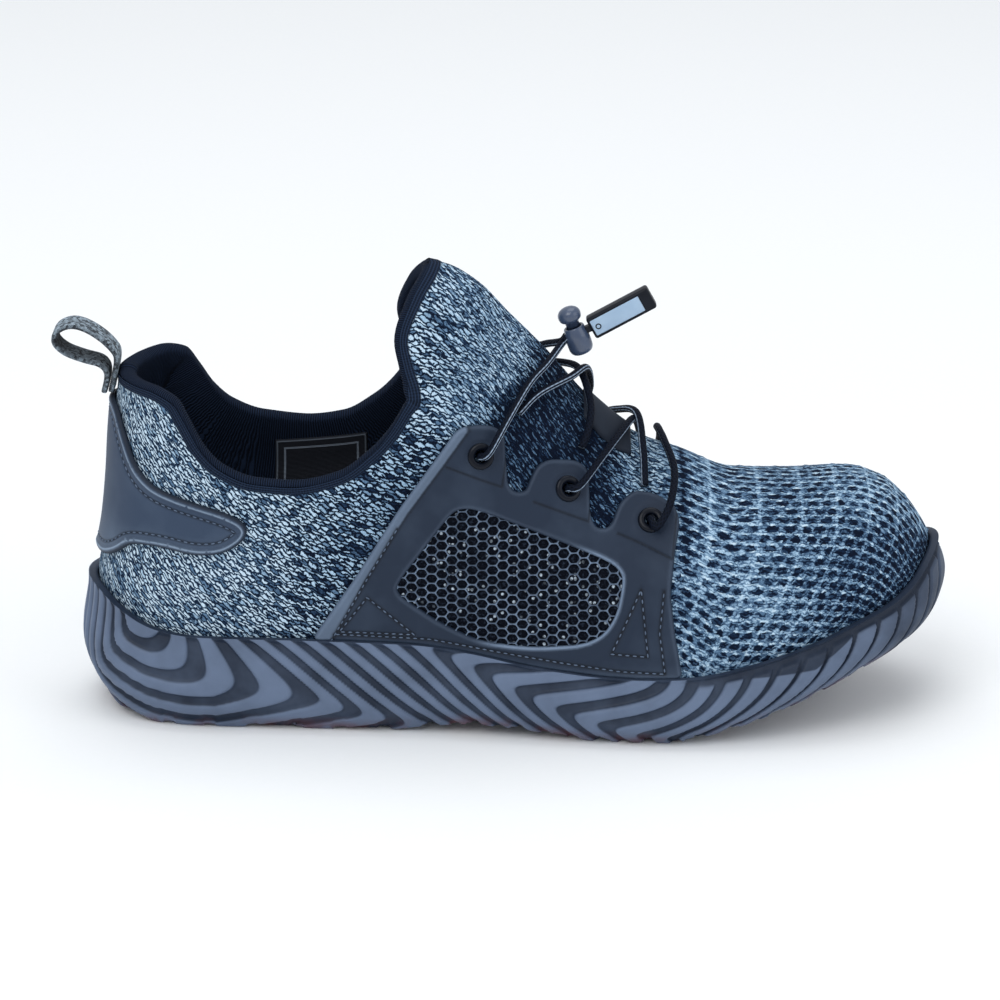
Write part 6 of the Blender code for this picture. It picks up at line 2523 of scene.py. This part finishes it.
@dataclass
class Laces:
    """Elastic laces: one bar, two crosses, two ends up to the lock, and their patch."""

    width: float = 0.0026
    facets: int = 18

    bar_rows = (
        (0.66, -0.76, 2.5), (0.674, -0.6, 2.5), (0.678, -0.35, 2.0),
        (0.666, -0.1, 1.7), (0.66, 0.1, 1.7), (0.668, 0.35, 2.0),
        (0.67, 0.6, 2.5), (0.66, 0.76, 2.5),
    )
    lower_rows = (
        (0.566, -0.78, 2.5), (0.59, -0.55, 2.2), (0.612, -0.28, 1.7),
        (0.629, 0.0, 1.45), (0.642, 0.28, 1.1), (0.646, 0.5, 0.75),
    )
    upper_rows = (
        (0.502, -0.64, 0.75), (0.522, -0.48, 1.1), (0.552, -0.22, 1.4),
        (0.566, 0.0, 1.5), (0.578, 0.22, 1.5), (0.578, 0.4, 1.2), (0.573, 0.54, 0.75),
    )
    end_rows = (
        (0.467, -0.88, 2.5), (0.487, -0.7, 2.0), (0.51, -0.47, 1.6), (0.528, -0.28, 1.6),
    )
    keeper_rows = ((0.578, 0.3), (0.596, 0.34), (0.616, 0.34), (0.632, 0.3))

    def through(self, flank: Flank, number: int) -> Array:
        """Points from inside an eyelet up through it."""
        lifts = np.array([-0.0006, 0.0018, 0.0042])
        return LAST.off_skin(*Overlays.seats(flank)[number], lifts)[0]

    def over(self, rows: Rows, flank: Flank, hump: float = 0.0) -> Array:
        """Points over the foot from one side; hump lifts the lace over another at the middle.

        Args:
            rows: Place along, place across and lift.
            flank: Side of the shoe.
            hump: Extra lift at the middle in metres.

        Returns:
            The points.
        """
        along, across, lift = np.array(rows, float).T
        lift = lift * self.width + hump * bell(across, 0.25)
        return LAST.over_foot(along * LAST.length, -across * flank.value, lift)[0]

    def strand(self, name: str, points: Array, cord: Material) -> tuple[Piece, Array]:
        """A braided tube along a smooth path through points, and that path.

        Args:
            name: Name of the piece.
            points: Points that the lace passes through.
            cord: Finish of the laces.

        Returns:
            The piece and its path.
        """
        path = evenly(rounded(points, 10), 0.0008)
        surface = swept(path, ring_profile(self.width / 2, self.facets))
        piece = dressed(surface.make(name, outward=True), cord)
        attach(piece, "shoe")
        return piece, path

    def build(self, cord: Material, patch: Material, lock: "Lock") -> None:
        """Builds the laces; the two ends run from the first eyelets up into the lock.

        Args:
            cord: Finish of the laces.
            patch: Finish of the patch.
            lock: The lock, already built.
        """
        points = np.vstack([
            self.through(Flank.OUTER, 2), self.over(self.bar_rows, Flank.OUTER),
            self.through(Flank.INNER, 2)[::-1],
        ])
        bar, _ = self.strand("lace_over_bar", points, cord)
        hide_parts("lace_bar")
        lower, upper = [], []
        for number, flank in enumerate(Flank, 1):
            hump = 0.0022 * flank.half
            rows = np.vstack([self.through(flank, 1), self.over(self.lower_rows, flank, hump)])
            lower.append(self.strand(f"lace_lower_{number}", rows, cord)[0])
            rows = self.over(self.upper_rows, flank, 0.0022 - hump)
            upper.append(self.strand(f"lace_upper_{number}", rows, cord)[0])
        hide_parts("lace_cross_lower")
        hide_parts("lace_cross_upper")
        for flank, held in ((Flank.OUTER, lock.pieces[:2]), (Flank.INNER, lock.pieces[2:])):
            name, rows = flank.word, self.over(self.end_rows, flank)
            points = np.vstack([self.through(flank, 0), rows, lock.cord_stops(flank)])
            piece, path = self.strand(f"free_lace_{name}", points, cord)
            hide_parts(f"lace_end_{name}")
        self.keeper(patch)
        log.info("laces and their patch")

    def keeper(self, patch: Material) -> None:
        """The dark patch under the laces: a sheet over the foot, its border a quarter round.

        Args:
            patch: Finish of the patch.
        """
        t, across = np.linspace(0, 1, 30), np.linspace(-1, 1, 40)
        along, wide = (
            np.interp(t, [0, 0.33, 0.67, 1], values)[:, None]
            for values in np.transpose(self.keeper_rows)
        )
        edge = np.minimum((1 - np.abs(across)) * 8, (1 - np.abs(2 * t - 1))[:, None] * 6)
        lift = 0.0006 + 0.001 * np.sqrt(1 - (1 - np.clip(edge, 0, 1)) ** 2)
        along, over = along * LAST.length, wide * across
        top, _ = LAST.over_foot(along, over, lift)
        base, _ = LAST.over_foot(along, over, 0 * lift + 0.0004)
        sheet = np.concatenate([base[:1], top, base[-1:]])
        rim = np.concatenate([sheet[:, :1], sheet, sheet[:, -1:]], 1)
        rim[1:-1, 0], rim[1:-1, -1] = base[:, 0], base[:, -1]
        marks = {"pale": np.zeros(rim.shape[:2]), "seam": np.full(rim.shape[:2], 0.55)}
        surface = gridded(rim, None, marks)
        piece = dressed(surface.make("lace_patch", weld=FINE_WELD, outward=True), patch)
        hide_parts("lace_keeper")
        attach(piece, "shoe")


@dataclass
class Lock:
    """Sprung cord lock: barrel, button, clip and its pale face plate."""

    width: float = 0.0026
    rise: float = math.radians(20.0)
    clip_rise: float = math.radians(29.0)
    radius: float = 0.0042
    length: float = 0.0098
    above: float = 0.0024
    bore: float = 0.0029
    bore_floor: float = 0.0012
    stem: float = 0.0024
    button: float = 0.004
    button_height: float = 0.004988
    travel: float = 0.002
    clip_length: float = 0.0235
    clip_width: float = 0.008
    clip_thickness: float = 0.005
    plate_thickness: float = 0.0009
    clip_rim: float = 0.0009
    pieces: list[Piece] = field(default_factory=list)

    # radius, distance down the axis
    shoulder = (
        (0.0036, -0.0020), (0.0037, -0.0012), (0.0041, -0.0003), (0.00425, 0.0012),
        (0.00425, 0.0032),
    )
    rivet = (
        (0.0, 0.0004), (0.0006, 0.00045), (0.0009, 0.0006), (0.0011, 0.0004),
        (0.0012, -0.0002),
    )
    # shares of the button's radius and height
    dome = (
        (0.0, 1.0), (0.3, 0.98), (0.55, 0.92), (0.76, 0.82), (0.9, 0.69), (0.98, 0.55),
        (1.0, 0.42), (0.99, 0.28), (0.95, 0.15), (0.88, 0.06), (0.78, 0.0), (0.68, -0.03),
    )

    def __post_init__(self) -> None:
        """Places the lock."""
        self.place = LAST.world(
            np.array([0.57 * LAST.length, 0.02 * LAST.width, 0.832 * LAST.tongue])
        )
        self.ahead = np.array([math.cos(self.rise), 0.0, math.sin(self.rise)])
        self.down = np.array([math.sin(self.rise), 0.0, -math.cos(self.rise)])

    def cord_stops(self, flank: Flank) -> Array:
        """Where a lace end enters the barrel and where it stops in it.

        Args:
            flank: Side of the shoe.

        Returns:
            Both points.
        """
        beside = np.array([0.0, flank.value * (self.width + 1.2 * LAST.gap) / 2, 0.0])
        outside = self.place + 1.15 * beside - self.ahead * 1.4 * self.radius + self.down * 0.0016
        return np.array([outside, self.place + beside - self.ahead * (self.bore + LAST.gap)])

    def slab(self, name: str, start: Array, stop: Array, size: tuple, bevel: float) -> Piece:
        """A bar with rounded edges: a box section carried along a straight path, then bevelled.

        Args:
            name: Name of the piece.
            start: Start of its axis.
            stop: End of its axis.
            size: Half thickness and half width.
            bevel: Width of the bevel.

        Returns:
            The piece.
        """
        section = np.array([(1, 1), (-1, 1), (-1, -1), (1, -1)]) * size
        surface = swept(np.array([start, stop]), section)
        surface.flat = None
        piece = surface.make(name, outward=True)
        edge = piece.modifiers.new("edge", "BEVEL")
        edge.width = bevel
        edge.segments = 4
        return piece

    def shaped(self, name: str, profile: Rows, count: int, finish: Material) -> Piece:
        """A form turned round the lock's axis."""
        surface = turned(profile, self.place, self.down, count)
        return dressed(surface.make(name, weld=FINE_WELD, outward=True), finish)

    def build(self, soft: Material, plastic: Material, plate_finish: Material) -> None:
        """Builds the barrel and button of one plastic, and the clip and its plate.

        Args:
            soft: Finish of barrel and button.
            plastic: Finish of clip, neck and rivet.
            plate_finish: Finish of the clip's plate.
        """
        foot = self.length - self.above
        lower = [
            (self.radius * (0.55 + 0.45 * math.cos(t)), foot - 0.0026 * (1 - math.sin(t)))
            for t in np.linspace(0, math.pi / 2, 7)
        ]
        mouth = [(self.bore, 0.001 - self.above), (self.bore, -self.above), (0.0034, -self.above)]
        barrel = self.shaped("lock_barrel", [*mouth, *self.shoulder, *lower, (0.0, foot)], 56, soft)
        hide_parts("cord_lock_body")
        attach(barrel, "shoe")
        under = self.above + self.travel + LAST.gap
        dome = [(r * self.button, -under - h * self.button_height) for r, h in self.dome]
        stop = foot - self.bore_floor - self.travel - 2 * LAST.gap
        stem = [(self.stem, -under), (self.stem, stop), (0.0, stop)]
        button = self.shaped("lock_cap", dome + stem, 48, soft)
        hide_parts("cord_lock_button")
        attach(button, "lock_button")
        ahead = np.array([math.cos(self.clip_rise), 0.0, math.sin(self.clip_rise)])
        start = self.place + self.ahead * (self.radius + 4 * LAST.gap)
        end = start + ahead * self.clip_length
        clip = self.slab(
            "end_clip", start, end, (self.clip_thickness / 2, self.clip_width / 2), 0.0009
        )
        dressed(clip, plastic)
        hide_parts("cord_clip")
        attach(clip, "shoe")
        root = self.place + self.ahead * 0.0034
        neck = self.slab("clip_neck", root, start + ahead * 0.002, (0.0018, 0.0011), 0.0005)
        dressed(neck, plastic)
        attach(neck, "shoe")
        rim, side = self.clip_rim, np.array([0.0, -1.0, 0.0])
        out = side * (self.clip_thickness / 2 + 0.0001)
        near, far = start + ahead * rim + out, end - ahead * 4.5 * rim + out
        face = (self.plate_thickness / 2, self.clip_width / 2 - rim - LAST.gap)
        plate = self.slab("face_plate", near, far, face, 0.0003)
        dressed(plate, plate_finish)
        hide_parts("clip_plate")
        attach(plate, "shoe")
        eye = turned(self.rivet, start + ahead * 3.2 * rim + out, side, 24)
        eye = dressed(eye.make("clip_rivet", weld=FINE_WELD, outward=True), plastic)
        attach(eye, "shoe")
        self.pieces = [barrel, button, clip, plate, neck, eye]
        log.info("lock and clip")


@dataclass
class PullLoop:
    """Webbing strap behind the heel."""

    width: float = 0.012
    thickness: float = 0.002

    rows = (
        (0.0353, 0.712), (0.039, 0.744), (0.0375, 0.762), (0.03, 0.775), (0.012, 0.785),
        (-0.008, 0.801), (-0.019, 0.824), (-0.015, 0.848), (-0.001, 0.86), (0.015, 0.854),
        (0.034, 0.831), (0.048, 0.802), (0.0505, 0.782), (0.0476, 0.75), (0.0433, 0.714),
    )

    def build(self, webbing: Material) -> None:
        """A rounded strap section carried along its path; its outer face carries the weave.

        Args:
            webbing: Finish of the strap.
        """
        rows = np.array(self.rows) * (LAST.length, LAST.tongue)
        path = LAST.world(np.stack([rows[:, 0], 0 * rows[:, 0], rows[:, 1]], -1))
        path = evenly(rounded(path, 8), 0.0008)
        cos, sin = ring_profile(1.0, 36).T
        wide = np.sign(cos) * np.abs(cos) ** 0.35 * self.width / 2
        thick = np.sign(sin) * np.abs(sin) ** 0.6 * self.thickness / 2
        surface = swept(path, np.stack([wide, thick], 1))
        centres = np.repeat(path, len(wide), 0)
        out = np.sum((surface.points - centres) * (centres - path.mean(0)), 1)
        surface.marks = {"outside": ease(out / 2e-5 + 0.5)}
        piece = dressed(surface.make("heel_strap", outward=True), webbing)
        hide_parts("pull_loop")
        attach(piece, "shoe")
        log.info("pull loop")


@dataclass
class Studio:
    """Pale floor and backdrop, soft lights and the camera."""

    lens: float = 135.72
    distance: float = 1.3
    elevation: float = math.radians(19.5)
    target: tuple = (0.0852, 0.0, 0.0711)

    def camera(self) -> None:
        """Camera level with the photograph's, looking at the shoe's outer side."""
        data = bpy.data.cameras.new("view")
        data.lens = self.lens
        data.sensor_width = 36.0
        data.clip_end = 20.0
        view = bpy.data.objects.new("view", data)
        back = Vector((0.0, -math.cos(self.elevation), math.sin(self.elevation)))
        view.location = Vector(self.target) + back * self.distance
        view.rotation_euler = (-back).to_track_quat("-Z", "Y").to_euler()
        bpy.context.scene.collection.objects.link(view)
        bpy.context.scene.camera = view

    def light(self, name: str, place: tuple, size: float, power: float, colour: Colour) -> None:
        """A square soft light aimed at the shoe.

        Args:
            name: Name of the light.
            place: Where it stands.
            size: Length of its edges.
            power: Power in watts.
            colour: Colour of the light.
        """
        data = bpy.data.lights.new(name, "AREA")
        data.size = size
        data.energy = power
        data.color = colour
        lamp = bpy.data.objects.new(name, data)
        lamp.location = place
        aim = Vector((0.09, 0.0, 0.04)) - Vector(place)
        lamp.rotation_euler = aim.to_track_quat("-Z", "Y").to_euler()
        bpy.context.scene.collection.objects.link(lamp)

    def build(self) -> None:
        """Builds floor, world, lights and camera."""
        u, v = np.meshgrid([-6.0, 6.0], [-6.0, 6.0])
        floor = gridded(np.stack([u + 0.09, v, 0 * u - 0.0003], -1)).make("pale_floor")
        g = Graph("pale_paper")
        grain = g.noise(g.vector(*g.place()), 400.0, 2.0)
        colour = g.blend(grain, tone(251, 252, 252), tone(254, 254, 254))
        dressed(floor, g.dress(colour, 0.9, grain, 0.00002))
        world = bpy.data.worlds.new("studio_air")
        world.use_nodes = True
        air = world.node_tree.nodes["Background"]
        air.inputs[0].default_value = (0.93, 0.96, 1.0, 1.0)
        air.inputs[1].default_value = 0.66
        bpy.context.scene.world = world
        bpy.context.scene.view_settings.view_transform = "Standard"
        self.light("key", (-0.5, -1.2, 1.7), 1.3, 15.5, (0.97, 0.99, 1.0))
        self.light("fill", (1.5, -0.8, 0.9), 1.2, 5.0, (0.92, 0.96, 1.0))
        self.light("top", (0.1, 0.5, 1.9), 1.4, 9.0, (0.95, 0.98, 1.0))
        self.camera()


def main() -> None:
    """Builds the camera and cords first, then every sub-assembly."""
    logging.basicConfig(level=logging.INFO, format="%(name)s %(message)s")
    Studio().build()
    black = PlainFinish("black_plastic", tone(8, 11, 18), tone(20, 26, 38), 0.4, shine=0.2)
    barrel = PlainFinish(
        "grey_plastic", tone(50, 63, 86), tone(68, 83, 110), 0.34, coat=0.5, shine=0.5
    )
    plate = PlainFinish("pale_plate", tone(142, 168, 196), tone(176, 199, 220), 0.36)
    enamel = PlainFinish(
        "black_enamel", tone(6, 10, 19), tone(13, 19, 32), 0.3, coat=0.1, shine=0.15
    )
    thread = PlainFinish("dark_thread", tone(62, 76, 98), tone(112, 128, 150), 0.7, shine=0.15)
    foam = PlainFinish("insole_cloth", tone(16, 22, 32), tone(30, 38, 50), 0.95, grain_depth=0.0001)
    synthetic = SmoothSynthetic().material()
    counter = SmoothSynthetic("counter_synthetic", tone(52, 67, 89), tone(146, 165, 187))
    lock = Lock()
    lock.build(barrel.material(), black.material(), plate.material())
    Laces().build(Braid().material(), synthetic, lock)
    Sole().build(MouldedRubber().material())
    Insole().build(foam.material())
    lining = RibbedLining().material()
    Upper().build(Knit().material(), lining)
    Label().build()
    Overlays().build(
        {
            "synthetic": synthetic,
            "counter": counter.material(),
            "net": WindowNet().material(),
            "lattice": Lattice().material(),
            "enamel": enamel.material(),
            "thread": thread.material(),
        }
    )
    PullLoop().build(Webbing().material())


if __name__ == "__main__":
    main()
